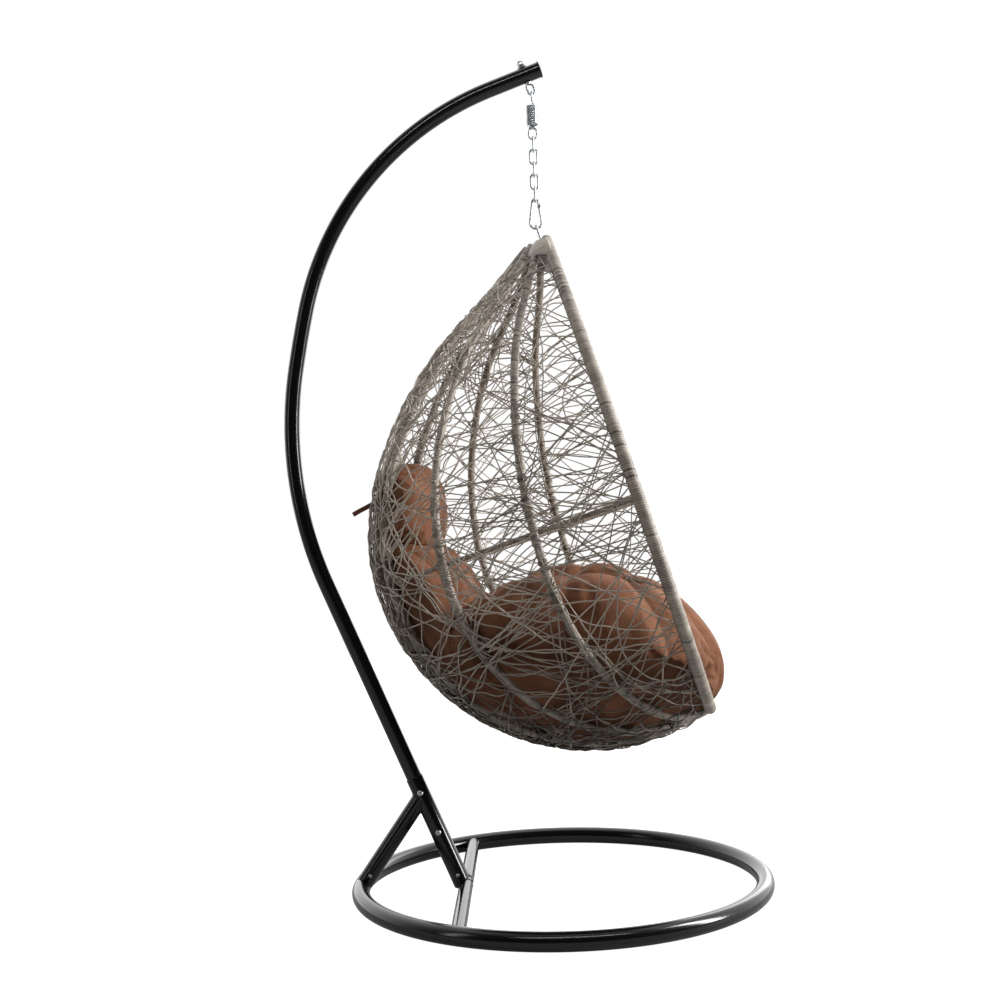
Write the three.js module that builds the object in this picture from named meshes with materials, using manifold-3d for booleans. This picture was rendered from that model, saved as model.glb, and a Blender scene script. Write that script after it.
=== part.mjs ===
// Hanging egg chair: a curved arm on a ring base, a spring and chain, and a wicker egg with cushions.
// Millimetres, +Z up. The chair's front looks along +X, its left side is +Y. The floor is z = 0.
import * as THREE from 'three';
import { mergeVertices } from 'three/addons/utils/BufferGeometryUtils.js';
import Module from 'manifold-3d';

const wasm = await Module();
wasm.setup();

// ---------------------------------------------------------------- driving dimensions
const GAP = 0.3;                 // left between pieces that touch
const BORE_SIDES = 8;
const WIRE_SIDES = 6;
const WALL = 2;                  // steel tube wall

// Base ring, its crossbar, the leg and the strut
const RING_R = 479;              // centre line of the ring tube
const RING_TUBE_R = 21;
const CROSSBAR_X = -229;         // from the ring's centre
const CROSSBAR_R = 16.5;
const LEG_R = 21;                // the leg is a sleeve round the arm's lower end
const LEG_TOP_Z = 280;
const LEG_FOOT_Z = 14;
const ARM_INSERT_Z = 112;        // how low the arm reaches inside the leg
const STRUT_R = 20;
const STRUT_TOP = { x: -326, z: 237 };
const BOLT_ZS = [244, 149];      // the two bolts through leg and arm

// Arm: from the tip backwards and down, as a straight, three bends and a straight
const ARM_R = 19;
const ARM_TIP = { x: 11, z: 1968 };
const ARM_TIP_SLOPE = 19.7;      // degrees below level, going back from the tip
const ARM_TIP_STRAIGHT = 128;
const ARM_BENDS = [
  { radius: 723, sweep: 57.2 },
  { radius: 2480, sweep: 3.5 },
  { radius: 930, sweep: 32.3 },
];
const EYE_BOLT_FROM_TIP = 36;

// Spring, chain and carabiner
const EYE_WIRE_R = 3;
const EYE_HALF_WIDTH = 8;        // centre line of the eye bolt's loop
const EYE_DROP = 49;             // from the arm's centre line to the bottom of that loop
const SPRING_WIRE_R = 2.4;
const SPRING_COIL_R = 12.9;
const SPRING_TURNS = 10;
const SPRING_COIL = 54;          // coil height
const SPRING_LOOP = 30;          // from the coil to the centre line of each end loop
const SPRING_LOOP_R = 9.5;
const SPRING_HOOK_BELOW = 5;     // from the coil's foot to the lower loop's top
const SPRING_HOOK_LENGTH = 26;
const LINK_WIRE_R = 2.5;
const LINK_HALF_WIDTH = 8.8;     // centre line
const LINK_LENGTH = 36.6;        // centre line
const LINK_COUNT = 5;
const HOOK_WIRE_R = 3;
const HOOK_LENGTH = 71;          // centre line
const HOOK_TOP_R = 7.2;
const HOOK_BOTTOM_R = 14;
const HOOK_PLAY = 0.3;           // more room above the last link, so that the hook turns freely in it

// Egg: w runs down the rim from the point above its apex, d runs back from the rim's plane, v runs left
const EGG_YAW = -4.6;            // degrees: it hangs turned a little to the chair's right
const SIDE_SHIFT = 12;           // sets the ring and the turned egg evenly about y = 0
const EGG_TILT = 17.24;          // degrees the rim leans back from plumb
const APEX_W = 62;
const RIM_WIDE_W = 840;          // where the rim is widest
const RIM_HALF_WIDTH = 493;
const RIM_TIP_W = 1255;
const BACK_DEEP_W = 760;         // where the back is deepest
const BACK_DEPTH = 645;
const BELLY_D = 150;             // centre of the belly's lower curve
const BELLY_DROP = 515;          // how far that curve reaches below the deepest point
const SHOULDER = 0.83;           // roundness of the top: less is rounder
const RIM_TUBE_R = 12;
const RIB_R = 7;
const RIB_ANGLES = { front: 20.5, middle: 43.4, rear: 66.5 };
const HOOP_W = 740;
const HOOP_R = 6;
const HOOP_PLAY = 0.8;           // room between the hoop and the ribs that it lies inside
const CROWN_W = [70, 124];
const CROWN_HALF_WIDTH = 92;
const CROWN_DEPTH_SHARE = 0.68;
const HUB_R = 60;
const HUB_THICK = 16;
const EGG_EYE_R = 3;
const WICKER_IN = 12;            // wicker's inner face, outside the rib centre lines
const WICKER_THICK = 5.5;
const LATTICE = { down: 12, round: 10, bar: 0.25 };  // openings each way, and a bar's share of the pitch
const EGG_EYE_HALF_WIDTH = 9;

// Cushions, each a rounded block [half depth, half width, half height] in the chair's upright frame
const SEAT = { at: { x: 100, z: 570 }, half: [300, 425, 198], lean: 8, power: 2.5 };
const SEAT_BOWL = { at: { x: 96, z: 800 }, half: [228, 350, 300], lean: 0, power: 2.2 };
const BACKREST = { at: { x: -288, z: 655 }, half: [82, 330, 178], lean: -24, power: 2.4 };
const HEADREST = { at: { x: -318, z: 918 }, half: [70, 235, 126], lean: 0, power: 2.3 };
const SEAT_INSET = 14.5;         // the seat stays this far inside the rib centre lines
const BACKREST_INSET = 27;       // and the other cushions stay inside the hoop

// ---------------------------------------------------------------- derived places
const rad = THREE.MathUtils.degToRad;
const eyeCentre = acrossArm(EYE_DROP - EYE_HALF_WIDTH);
const pivotX = eyeCentre[0];
const eyeBottomZ = eyeCentre[2] - EYE_HALF_WIDTH;

// ---------------------------------------------------------------- materials
function material(color, roughness, metalness) {
  return new THREE.MeshStandardMaterial({ color, roughness, metalness });
}
const blackPaint = material('#151413', 0.25, 0.1);
const blackPlastic = material('#1b1b1b', 0.5, 0);
const zinc = material('#c9c8c2', 0.3, 1);
const rattan = material('#8a8175', 0.6, 0);
const cushionCloth = material('#7d4e38', 0.9, 0);

// ---------------------------------------------------------------- solids
// Joins a closed geometry's shared corners and makes a solid of it.
function solid(geometry) {
  const bare = geometry.index ? geometry.toNonIndexed() : geometry.clone();
  bare.deleteAttribute('normal');
  bare.deleteAttribute('uv');
  const merged = mergeVertices(bare, 1e-4);
  return new wasm.Manifold(new wasm.Mesh({
    numProp: 3,
    vertProperties: new Float32Array(merged.attributes.position.array),
    triVerts: new Uint32Array(merged.index.array),
  }));
}

function geometryOf(body) {
  const mesh = body.getMesh();
  const geometry = new THREE.BufferGeometry();
  geometry.setAttribute('position', new THREE.BufferAttribute(new Float32Array(mesh.vertProperties), 3));
  geometry.setIndex(new THREE.BufferAttribute(new Uint32Array(mesh.triVerts), 1));
  geometry.computeVertexNormals();
  return geometry;
}

function part(name, shape, look) {
  const geometry = shape.isBufferGeometry ? shape : geometryOf(shape);
  const mesh = new THREE.Mesh(geometry, look);
  mesh.name = name;
  return mesh;
}

function group(...children) {
  const g = new THREE.Group();
  g.add(...children);
  return g;
}

function polygon(cornerRadius, sides) {
  return Array.from({ length: sides }, (_, i) => {
    const a = (i + 0.5) / sides * 2 * Math.PI;
    return new THREE.Vector2(Math.cos(a), Math.sin(a)).multiplyScalar(cornerRadius);
  });
}

// A round section: its flat sides touch the true circle, and a bore's corners lie on the bore's circle.
function roundSection(radius, sides, boreRadius = 0) {
  const shape = new THREE.Shape(polygon(radius / Math.cos(Math.PI / sides), sides));
  if (boreRadius > 0) {
    shape.holes.push(new THREE.Path(polygon(boreRadius, BORE_SIDES).reverse()));
  }
  return shape;
}

// A tube or rod along a curve.
function along(curve, steps, radius, sides, boreRadius = 0) {
  return new THREE.ExtrudeGeometry(roundSection(radius, sides, boreRadius), {
    steps, bevelEnabled: false, extrudePath: curve,
  });
}

function straight(from, to) {
  return new THREE.LineCurve3(new THREE.Vector3(...from), new THREE.Vector3(...to));
}

// A curve through closely spaced points, walked at an even pace.
class TraceCurve extends THREE.Curve {
  constructor(points) {
    super();
    this.points = points;
    this.marks = [0];
    for (let i = 1; i < points.length; i += 1) {
      this.marks.push(this.marks[i - 1] + points[i].distanceTo(points[i - 1]));
    }
  }

  getPoint(t, target = new THREE.Vector3()) {
    const s = t * this.marks[this.marks.length - 1];
    let i = 1;
    while (i < this.points.length - 1 && this.marks[i] < s) {
      i += 1;
    }
    const span = this.marks[i] - this.marks[i - 1];
    return target.lerpVectors(this.points[i - 1], this.points[i], (s - this.marks[i - 1]) / span);
  }
}

// A rod from one point to another, as a cutter or a bolt's shank.
function rod(from, to, radius, sides = 16) {
  return solid(along(straight(from, to), 1, radius, sides));
}

function block(size, at) {
  return solid(new THREE.BoxGeometry(...size).translate(...at));
}

// ---------------------------------------------------------------- stand
// Points along the arm's centre line in the plane y = 0, down to the given height.
function armPoints(endZ) {
  const points = [];
  const here = { ...ARM_TIP };
  let slope = rad(ARM_TIP_SLOPE);
  const go = (distance) => {
    here.x -= distance * Math.cos(slope);
    here.z -= distance * Math.sin(slope);
    points.push(new THREE.Vector3(here.x, 0, here.z));
  };
  points.push(new THREE.Vector3(here.x, 0, here.z));
  go(ARM_TIP_STRAIGHT);
  for (const { radius, sweep } of ARM_BENDS) {
    const pieces = Math.ceil(sweep * 2);
    const turn = rad(sweep) / pieces;
    for (let i = 0; i < pieces; i += 1) {
      slope += turn / 2;
      go(2 * radius * Math.sin(turn / 2));
      slope += turn / 2;
    }
  }
  go((here.z - endZ) / Math.sin(slope));
  return points;
}

const armEnd = armPoints(ARM_INSERT_Z);
const legFoot = armPoints(LEG_FOOT_Z - 20).at(-1);
const RING_SEGMENTS = 60;
const RING_SIDES = 12;
const LEG_SIDES = 14;
const legDirection = new THREE.Vector3().subVectors(armEnd.at(-1), armEnd.at(-2)).normalize();

function onLeg(z) {
  const run = (z - legFoot.z) / legDirection.z;
  return legFoot.clone().addScaledVector(legDirection, run);
}

function torus(tubeRadius, sides) {
  const section = roundSection(tubeRadius, sides).getPoints();
  const profile = section.map((p) => new THREE.Vector2(RING_R + p.x, RING_TUBE_R + p.y));
  profile.push(profile[0].clone());
  return solid(new THREE.LatheGeometry(profile, RING_SEGMENTS).rotateX(Math.PI / 2));
}

const ringOutside = torus(RING_TUBE_R + GAP, RING_SIDES);
const legOutside = rod(onLeg(-40).toArray(), onLeg(LEG_TOP_Z + 60).toArray(), LEG_R + GAP, LEG_SIDES);
const armOutside = rod(onLeg(-40).toArray(), onLeg(LEG_TOP_Z + 60).toArray(), ARM_R + GAP, LEG_SIDES);

function baseRing() {
  const vent = rod([0, RING_R, -5], [0, RING_R, RING_TUBE_R], 4, 8);
  return torus(RING_TUBE_R, RING_SIDES)
    .subtract(torus((RING_TUBE_R - WALL) * Math.cos(Math.PI / BORE_SIDES), BORE_SIDES))
    .subtract(vent);
}

function crossbar() {
  const reach = Math.sqrt(RING_R ** 2 - CROSSBAR_X ** 2);
  const line = straight([CROSSBAR_X, -reach, RING_TUBE_R], [CROSSBAR_X, reach, RING_TUBE_R]);
  return solid(along(line, 1, CROSSBAR_R, 16, CROSSBAR_R - WALL)).subtract(ringOutside);
}

// The leg: a sleeve whose foot is notched over the crossbar.
function leg() {
  const line = straight(onLeg(LEG_TOP_Z).toArray(), onLeg(LEG_FOOT_Z - 20).toArray());
  const reach = 60;
  const bar = rod([CROSSBAR_X, -reach, RING_TUBE_R], [CROSSBAR_X, reach, RING_TUBE_R], CROSSBAR_R + GAP);
  const below = block([200, 200, 100], [CROSSBAR_X, 0, LEG_FOOT_Z - 50]);
  const front = block([100, 200, 60], [CROSSBAR_X + 50, 0, LEG_FOOT_Z - 10]);
  let body = solid(along(line, 1, LEG_R, LEG_SIDES)).subtract(armOutside).subtract(bar).subtract(below).subtract(front);
  for (const z of BOLT_ZS) {
    body = body.subtract(boltHole(z));
  }
  return body.subtract(screwHole(footScrew));
}

function strut() {
  const line = straight([STRUT_TOP.x, 0, STRUT_TOP.z], [-RING_R, 0, RING_TUBE_R]);
  return solid(along(line, 1, STRUT_R, 16, STRUT_R - WALL))
    .subtract(legOutside).subtract(ringOutside).subtract(screwHole(strutScrew));
}

function arm() {
  const curve = new TraceCurve(armEnd);
  let body = solid(along(curve, 36, ARM_R, LEG_SIDES, ARM_R - WALL));
  for (const z of BOLT_ZS) {
    body = body.subtract(boltHole(z));
  }
  return body.subtract(rod(acrossArm(-40), acrossArm(40), EYE_SHANK_R + GAP, 12));
}

// Bolts across leg and arm: a round head on the chair's right side and a dome nut on its left.
const BOLT_SHANK_R = 4;

function boltHole(z) {
  const p = onLeg(z);
  return rod([p.x, -40, p.z], [p.x, 40, p.z], BOLT_SHANK_R + GAP, 12);
}

function legBolt(z) {
  const p = onLeg(z);
  const seat = LEG_R + GAP;
  const profile = [
    [0, -seat - 5.2], [3.5, -seat - 4.6], [6, -seat - 2.6], [7, -seat],
    [BOLT_SHANK_R, -seat], [BOLT_SHANK_R, seat + 9], [0, seat + 9],
  ];
  return lathe(profile, 16).translate(p.x, 0, p.z);
}

function legNut(z) {
  const p = onLeg(z);
  return domeNut(7.5, 7, 6, BOLT_SHANK_R, 9).rotateX(-Math.PI / 2).translate(p.x, LEG_R + GAP, p.z);
}

// Revolves [radius, y] points about the y axis.
function lathe(profile, segments) {
  const points = profile.map(([r, y]) => new THREE.Vector2(r, y));
  return new THREE.LatheGeometry(points, segments);
}

// A hexagon nut with a domed end, its seat at z = 0, closed over a bore that takes the shank.
function domeNut(corner, height, dome, shankRadius, boreDepth) {
  const outline = Array.from({ length: 6 }, (_, i) => new THREE.Vector2(
    corner * Math.cos(i * Math.PI / 3), corner * Math.sin(i * Math.PI / 3)));
  const hexagon = new THREE.ExtrudeGeometry(new THREE.Shape(outline), { depth: height, bevelEnabled: false });
  const cap = lathe([
    [0, height - 0.5], [corner * 0.84, height - 0.5], [corner * 0.8, height + dome * 0.4],
    [corner * 0.5, height + dome * 0.85], [0, height + dome],
  ], 12).rotateX(Math.PI / 2);
  const bore = rod([0, 0, -1], [0, 0, boreDepth + GAP], shankRadius + GAP, 12);
  return geometryOf(solid(hexagon).add(solid(cap)).subtract(bore));
}

// Small screws at the leg's foot and the strut's foot, on the chair's right side.
const SCREW_R = 2;
const footScrew = { x: onLeg(46).x, z: 46, seat: LEG_R };
const strutScrew = { x: -457, z: 50, seat: STRUT_R };

function screwHole({ x, z, seat }) {
  return rod([x, -seat - 5, z], [x, -seat + 8, z], SCREW_R + GAP, 8);
}

function screw({ x, z, seat }) {
  const face = -seat - GAP;
  return lathe([
    [0, face - 2.4], [2.6, face - 1.8], [4.2, face], [SCREW_R, face], [SCREW_R, face + 6], [0, face + 6],
  ], 10).translate(x, 0, z);
}

// A point on the eye bolt's axis, at a distance below the arm's centre line.
function acrossArm(distance) {
  const slope = rad(ARM_TIP_SLOPE);
  return [
    ARM_TIP.x - EYE_BOLT_FROM_TIP * Math.cos(slope) + distance * Math.sin(slope), 0,
    ARM_TIP.z - EYE_BOLT_FROM_TIP * Math.sin(slope) - distance * Math.cos(slope),
  ];
}

const EYE_SHANK_R = 5;
const ARM_SEAT = ARM_R / Math.cos(Math.PI / LEG_SIDES) + GAP;
const WASHER_THICK = 1.7;

function eyeBolt() {
  const top = ARM_SEAT + 11;
  const loopTop = ARM_SEAT + EYE_WIRE_R + 1;
  const loop = loopCurve(EYE_HALF_WIDTH, EYE_HALF_WIDTH, EYE_DROP - loopTop, 'xz', 0.02);
  const ring = along(loop, 20, EYE_WIRE_R, WIRE_SIDES).translate(0, 0, -loopTop);
  const shank = along(straight([0, 0, top], [0, 0, -loopTop]), 1, EYE_SHANK_R, 12);
  const collar = along(straight([0, 0, -ARM_SEAT], [0, 0, -ARM_SEAT - 2]), 1, 9, 12);
  return solid(ring).add(solid(shank)).add(solid(collar));
}

// Sets a piece made about the origin, +Z up, on the eye bolt's axis.
function onEyeBolt(mesh) {
  mesh.position.fromArray(acrossArm(0));
  mesh.rotation.y = -rad(ARM_TIP_SLOPE);
  return mesh;
}

function armEndCap() {
  const face = 3;
  const plug = 16;
  const plugR = (ARM_R - WALL) * Math.cos(Math.PI / BORE_SIDES) - GAP;
  return lathe([
    [0, face], [ARM_R + 0.6, face], [ARM_R + 1.6, face / 2], [ARM_R + 1.6, GAP],
    [plugR, GAP], [plugR, -plug], [0, -plug],
  ].reverse(), 24);
}

// ---------------------------------------------------------------- spring, chain and hook
// A loop of wire round two arcs, its top at the origin, in plane 'xz' or 'yz', left open by a small share.
function loopCurve(topR, bottomR, length, plane, open, from = 0) {
  const points = [];
  const apart = length - topR - bottomR;
  const lean = Math.asin((bottomR - topR) / apart);
  const arc = (centreZ, r, a0, a1) => {
    const count = 10;
    for (let i = 0; i <= count; i += 1) {
      const a = a0 + (a1 - a0) * i / count;
      points.push([r * Math.cos(a), centreZ + r * Math.sin(a)]);
    }
  };
  const topZ = -topR;
  const bottomZ = bottomR - length;
  arc(bottomZ, bottomR, Math.PI - lean, 2 * Math.PI + lean);
  arc(topZ, topR, lean, Math.PI - lean);
  points.push(points[0]);
  const to3 = ([u, z]) => (plane === 'xz' ? new THREE.Vector3(u, 0, z) : new THREE.Vector3(0, u, z));
  const whole = new TraceCurve(points.map(to3));
  const pieces = 64;
  const cut = Array.from({ length: pieces + 1 }, (_, i) => {
    const t = from + open / 2 + (1 - open) * i / pieces;
    return whole.getPoint(t % 1);
  });
  return new TraceCurve(cut);
}

function chainLink(plane) {
  const loop = loopCurve(LINK_HALF_WIDTH, LINK_HALF_WIDTH, LINK_LENGTH, plane, 0.006, 0.42);
  return along(loop, 18, LINK_WIRE_R, WIRE_SIDES);
}

// The spring's wire from its top loop down the coil, ending at the coil's foot.
function springCoil() {
  const points = [];
  const coilTop = -SPRING_LOOP;
  const loopTurns = 14;
  for (let i = 0; i <= loopTurns; i += 1) {
    const a = rad(-50) + rad(320) * i / loopTurns;
    points.push(new THREE.Vector3(0, SPRING_LOOP_R * Math.cos(a), -SPRING_LOOP_R + SPRING_LOOP_R * Math.sin(a)));
  }
  points.push(new THREE.Vector3(2, -3, coilTop + 3.5));
  const perTurn = 12;
  for (let i = 0; i <= SPRING_TURNS * perTurn; i += 1) {
    const a = i / perTurn * 2 * Math.PI - Math.PI / 2 + 0.6;
    const grow = Math.min(1, 0.35 + i / perTurn);
    const z = coilTop - SPRING_WIRE_R - (SPRING_COIL - 2 * SPRING_WIRE_R) * i / (SPRING_TURNS * perTurn);
    points.push(new THREE.Vector3(
      SPRING_COIL_R * grow * Math.cos(a), SPRING_COIL_R * grow * Math.sin(a), z));
  }
  return along(new THREE.CatmullRomCurve3(points), 130, SPRING_WIRE_R, WIRE_SIDES);
}

// The spring's lower end loop, a drawn-in eye that hangs from the coil's last turn.
function springHook() {
  const loop = loopCurve(SPRING_LOOP_R, SPRING_LOOP_R, SPRING_HOOK_LENGTH, 'xz', 0.03);
  const ring = solid(along(loop, 20, SPRING_WIRE_R, WIRE_SIDES));
  const collar = solid(along(straight([0, 0, 0.6], [0, 0, -3]), 1, SPRING_COIL_R - 2, 12));
  return ring.add(collar);
}

// The snap hook's open body: all of its loop but the gate's stretch on the front side.
const GATE = { from: 0.335, to: 0.528 };

function hookPoint(share) {
  return loopCurve(HOOK_TOP_R, HOOK_BOTTOM_R, HOOK_LENGTH, 'xz', 0).getPoint(share % 1);
}

function hookStretch(from, to, pieces) {
  return new TraceCurve(Array.from({ length: pieces + 1 }, (_, i) => hookPoint(from + (to - from) * i / pieces)));
}

function hookBody() {
  const body = solid(along(hookStretch(GATE.to, GATE.from + 1, 40), 24, HOOK_WIRE_R, WIRE_SIDES));
  const pin = hookPin();
  const cheek = (side) => block([7, 1.2, 9], [pin.x, side * (HOOK_WIRE_R + 1.2), pin.z + 1.5]);
  const tie = block([7, 2 * HOOK_WIRE_R + 3.6, 3], [pin.x - 0.6, 0, pin.z + 6.5]);
  const hole = rod([pin.x, -9, pin.z], [pin.x, 9, pin.z], 1.5, 8);
  return body.add(cheek(1)).add(cheek(-1)).add(tie).subtract(hole);
}

function hookPin() {
  return hookPoint(GATE.to - 0.025);
}

function hookGate() {
  const pin = hookPin();
  const bar = solid(along(hookStretch(GATE.from + 0.006, GATE.to - 0.013, 8), 4, HOOK_WIRE_R - 0.1, WIRE_SIDES));
  return bar.subtract(rod([pin.x, -9, pin.z], [pin.x, 9, pin.z], 1.5, 8));
}

function gatePin() {
  const pin = hookPin();
  return rod([pin.x, -5.4, pin.z], [pin.x, 5.4, pin.z], 1.2, 8);
}

// ---------------------------------------------------------------- egg
// The egg's skin on the rib centre lines. t runs from the apex (0) over the widest place (1) to the tip (2),
// phi from the right rim (0) round the back (90 degrees) to the left rim (180 degrees).
function skin(t, phi) {
  const back = Math.sin(phi) ** 2;
  let rimW = APEX_W + (RIM_WIDE_W - APEX_W) * t;
  let backW = APEX_W + (BACK_DEEP_W - APEX_W) * t;
  let half = RIM_HALF_WIDTH * Math.sin(Math.PI / 2 * t ** SHOULDER);
  let depth = BACK_DEPTH * Math.sin(Math.PI / 2 * t ** SHOULDER);
  if (t > 1) {
    const rimTurn = Math.PI / 2 * (t - 1);
    const drop = Math.asin((RIM_TIP_W - BACK_DEEP_W) / BELLY_DROP);
    const backTurn = (Math.PI - drop) * (t - 1);
    rimW = RIM_WIDE_W + (RIM_TIP_W - RIM_WIDE_W) * Math.sin(rimTurn);
    backW = BACK_DEEP_W + BELLY_DROP * Math.sin(backTurn);
    half = RIM_HALF_WIDTH * Math.cos(rimTurn);
    const tipD = BELLY_D + (BACK_DEPTH - BELLY_D) * Math.cos(Math.PI - drop);
    depth = BELLY_D + (BACK_DEPTH - BELLY_D) * Math.cos(backTurn) - tipD * (t - 1);
  }
  return new THREE.Vector3(
    -depth * Math.sin(phi), -half * Math.cos(phi), -(rimW + (backW - rimW) * back));
}

// The skin moved out along its normal.
function skinOut(t, phi, out) {
  const h = 1e-3;
  const dt = skin(t + h, phi).sub(skin(t - h, phi));
  const dp = skin(t, phi + h).sub(skin(t, phi - h));
  const normal = new THREE.Vector3().crossVectors(dt, dp).normalize();
  return skin(t, phi).addScaledVector(normal, -out);
}

const RIM_START = 0.035;         // rim and ribs start inside the crown
const RIB_END = 1.99;            // and the ribs end inside the hub

function rimCurve() {
  const count = 60;
  const side = (phi) => Array.from({ length: count + 1 }, (_, i) => (
    skin(RIM_START + (2 - RIM_START) * (1 - ((count - i) / count) ** 1.4), phi)));
  const right = side(0);
  const left = side(Math.PI).reverse().slice(1);
  return new TraceCurve([...right, ...left]);
}

function ribCurve(degrees) {
  const count = 60;
  return new TraceCurve(Array.from({ length: count + 1 }, (_, i) => (
    skin(RIM_START + (RIB_END - RIM_START) * i / count, rad(degrees)))));
}

// The hoop runs level with the rim's plane, inside the ribs, from rim to rim.
function hoopCurve() {
  const count = 60;
  const inset = wireTouch(RIB_R, HOOP_R) + HOOP_PLAY;
  return new TraceCurve(Array.from({ length: count + 1 }, (_, i) => {
    const phi = Math.PI * i / count;
    const deepest = RIM_WIDE_W + (BACK_DEEP_W - RIM_WIDE_W) * Math.sin(phi) ** 2;
    const t = (HOOP_W - APEX_W) / (deepest - APEX_W);
    const p = skin(t, phi);
    const a = Math.abs(skin(t, 0).y);
    const b = Math.abs(skin(t, Math.PI / 2).x);
    const normal = new THREE.Vector3(p.x / b ** 2, p.y / a ** 2, 0).normalize();
    return p.addScaledVector(normal, -inset);
  }));
}

function crown(grow) {
  const [top, bottom] = CROWN_W;
  const r = CROWN_HALF_WIDTH + grow;
  const dome = solid(lathe([
    [0, -bottom - grow], [r, -bottom - grow], [r * 0.97, -bottom + 24], [r * 0.8, -top - 14],
    [r * 0.45, -top - 3 + grow], [0, -top + grow],
  ], 40).rotateX(Math.PI / 2).scale(CROWN_DEPTH_SHARE, 1, 1));
  const front = block([100, 300, 200], [RIM_TUBE_R + 4 + grow + 50, 0, -100]);
  return dome.subtract(front);
}

function hub(grow) {
  const tip = skin(2, 0);
  const before = skin(1.98, Math.PI / 2);
  const tangent = new THREE.Vector3().subVectors(tip, before).normalize();
  const lean = Math.atan2(tangent.z, tangent.x);
  const disc = solid(lathe([
    [0, -HUB_THICK / 2 - grow], [HUB_R + grow, -HUB_THICK / 2 - grow],
    [HUB_R + grow, HUB_THICK / 2 + grow], [0, HUB_THICK / 2 + grow],
  ], 32).rotateX(Math.PI / 2).rotateY(-lean).translate(tip.x, 0, tip.z));
  const front = block([200, 300, 300], [100, 0, tip.z]);
  return disc.subtract(front);
}

const rimSolid = solid(along(rimCurve(), 72, RIM_TUBE_R, 8));
const rimOutside = solid(along(rimCurve(), 72, RIM_TUBE_R + GAP, 8));
const crownOutside = crown(GAP);
const hubSolid = hub(0).subtract(rimOutside);
const hubOutside = hub(1);

function rib(degrees) {
  return solid(along(ribCurve(degrees), 26, RIB_R, 6))
    .subtract(crownOutside).subtract(hubOutside).subtract(rimOutside);
}

function hoop() {
  return solid(along(hoopCurve(), 30, HOOP_R, 6)).subtract(rimOutside);
}

// Where the lattice's lines run, as shares of its width: each bar's two edges, and the middle of each opening
// if asked, so that the bars that cross it follow the skin's curve.
function latticeLines(holes, withMiddles) {
  const pitch = 1 / (holes + LATTICE.bar);
  const lines = [];
  for (let i = 0; i <= holes; i += 1) {
    lines.push(i * pitch, (i + LATTICE.bar) * pitch);
    if (withMiddles && i < holes) {
      lines.push((i + (1 + LATTICE.bar) / 2) * pitch);
    }
  }
  return lines;
}

// The wicker as an open-fronted lattice outside the ribs, in place of its random strands.
function wicker(strapHole) {
  const tFrom = 0.078;
  const tTo = 1.93;
  const down = latticeLines(LATTICE.down, false);
  const round = latticeLines(LATTICE.round, true);
  const rimClear = RIM_TUBE_R + 2;
  const corner = (i, j, out) => {
    const t = tFrom + (tTo - tFrom) * down[i];
    const depth = Math.abs(skin(t, Math.PI / 2).x);
    const edge = Math.asin(Math.min(0.9, rimClear / depth));
    return skinOut(t, edge + (Math.PI - 2 * edge) * round[j], out);
  };
  const isBar = (i, j) => i % 2 === 0 || j % 3 === 0;
  return solid(sheetBetween(down.length - 1, round.length - 1, isBar,
    (i, j) => corner(i, j, WICKER_IN), (i, j) => corner(i, j, WICKER_IN + WICKER_THICK)))
    .subtract(strapHole).subtract(hubOutside);
}

// A closed skin between two faces that share a grid, with walls wherever a cell has no neighbour.
function sheetBetween(rows, columns, isCell, inner, outer) {
  const triangles = [];
  const quad = (a, b, c, d) => {
    triangles.push(a, b, c, a, c, d);
  };
  const has = (i, j) => i >= 0 && j >= 0 && i < rows && j < columns && isCell(i, j);
  const wall = (i0, j0, i1, j1) => quad(outer(i0, j0), outer(i1, j1), inner(i1, j1), inner(i0, j0));
  for (let i = 0; i < rows; i += 1) {
    for (let j = 0; j < columns; j += 1) {
      if (!has(i, j)) {
        continue;
      }
      quad(outer(i, j), outer(i, j + 1), outer(i + 1, j + 1), outer(i + 1, j));
      quad(inner(i, j), inner(i + 1, j), inner(i + 1, j + 1), inner(i, j + 1));
      if (!has(i, j - 1)) wall(i, j, i + 1, j);
      if (!has(i, j + 1)) wall(i + 1, j + 1, i, j + 1);
      if (!has(i - 1, j)) wall(i, j + 1, i, j);
      if (!has(i + 1, j)) wall(i + 1, j, i + 1, j + 1);
    }
  }
  return new THREE.BufferGeometry().setFromPoints(triangles);
}

// The room inside the ribs, carried on forwards past the rim.
function roomInside(inset) {
  const rows = 18;
  const columns = 16;
  const forward = 150;
  const rimInset = RIM_TUBE_R + 8;
  const ring = (i) => {
    const t = 0.06 + 1.86 * i / rows;
    const points = [];
    for (let j = 0; j <= columns; j += 1) {
      points.push(skinOut(t, Math.PI * j / columns, -inset));
    }
    const h = 1e-3;
    const run = skin(t + h, 0).sub(skin(t - h, 0)).normalize();
    const right = skin(t, 0).addScaledVector(new THREE.Vector3(0, -run.z, run.y), rimInset);
    const left = right.clone().setY(-right.y);
    points.push(left, left.clone().setX(forward), right.clone().setX(forward), right);
    return points;
  };
  const rings = Array.from({ length: rows + 1 }, (_, i) => ring(i));
  const triangles = [];
  const n = rings[0].length;
  for (let i = 0; i < rows; i += 1) {
    for (let j = 0; j < n; j += 1) {
      const k = (j + 1) % n;
      triangles.push(rings[i][j], rings[i][k], rings[i + 1][k]);
      triangles.push(rings[i][j], rings[i + 1][k], rings[i + 1][j]);
    }
  }
  for (const [points, flip] of [[rings[0], true], [rings[rows], false]]) {
    const centre = points.reduce((sum, p) => sum.add(p), new THREE.Vector3()).divideScalar(n);
    points.forEach((p, j) => {
      const q = points[(j + 1) % n];
      triangles.push(...(flip ? [centre, q, p] : [centre, p, q]));
    });
  }
  return solid(new THREE.BufferGeometry().setFromPoints(triangles));
}

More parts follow.
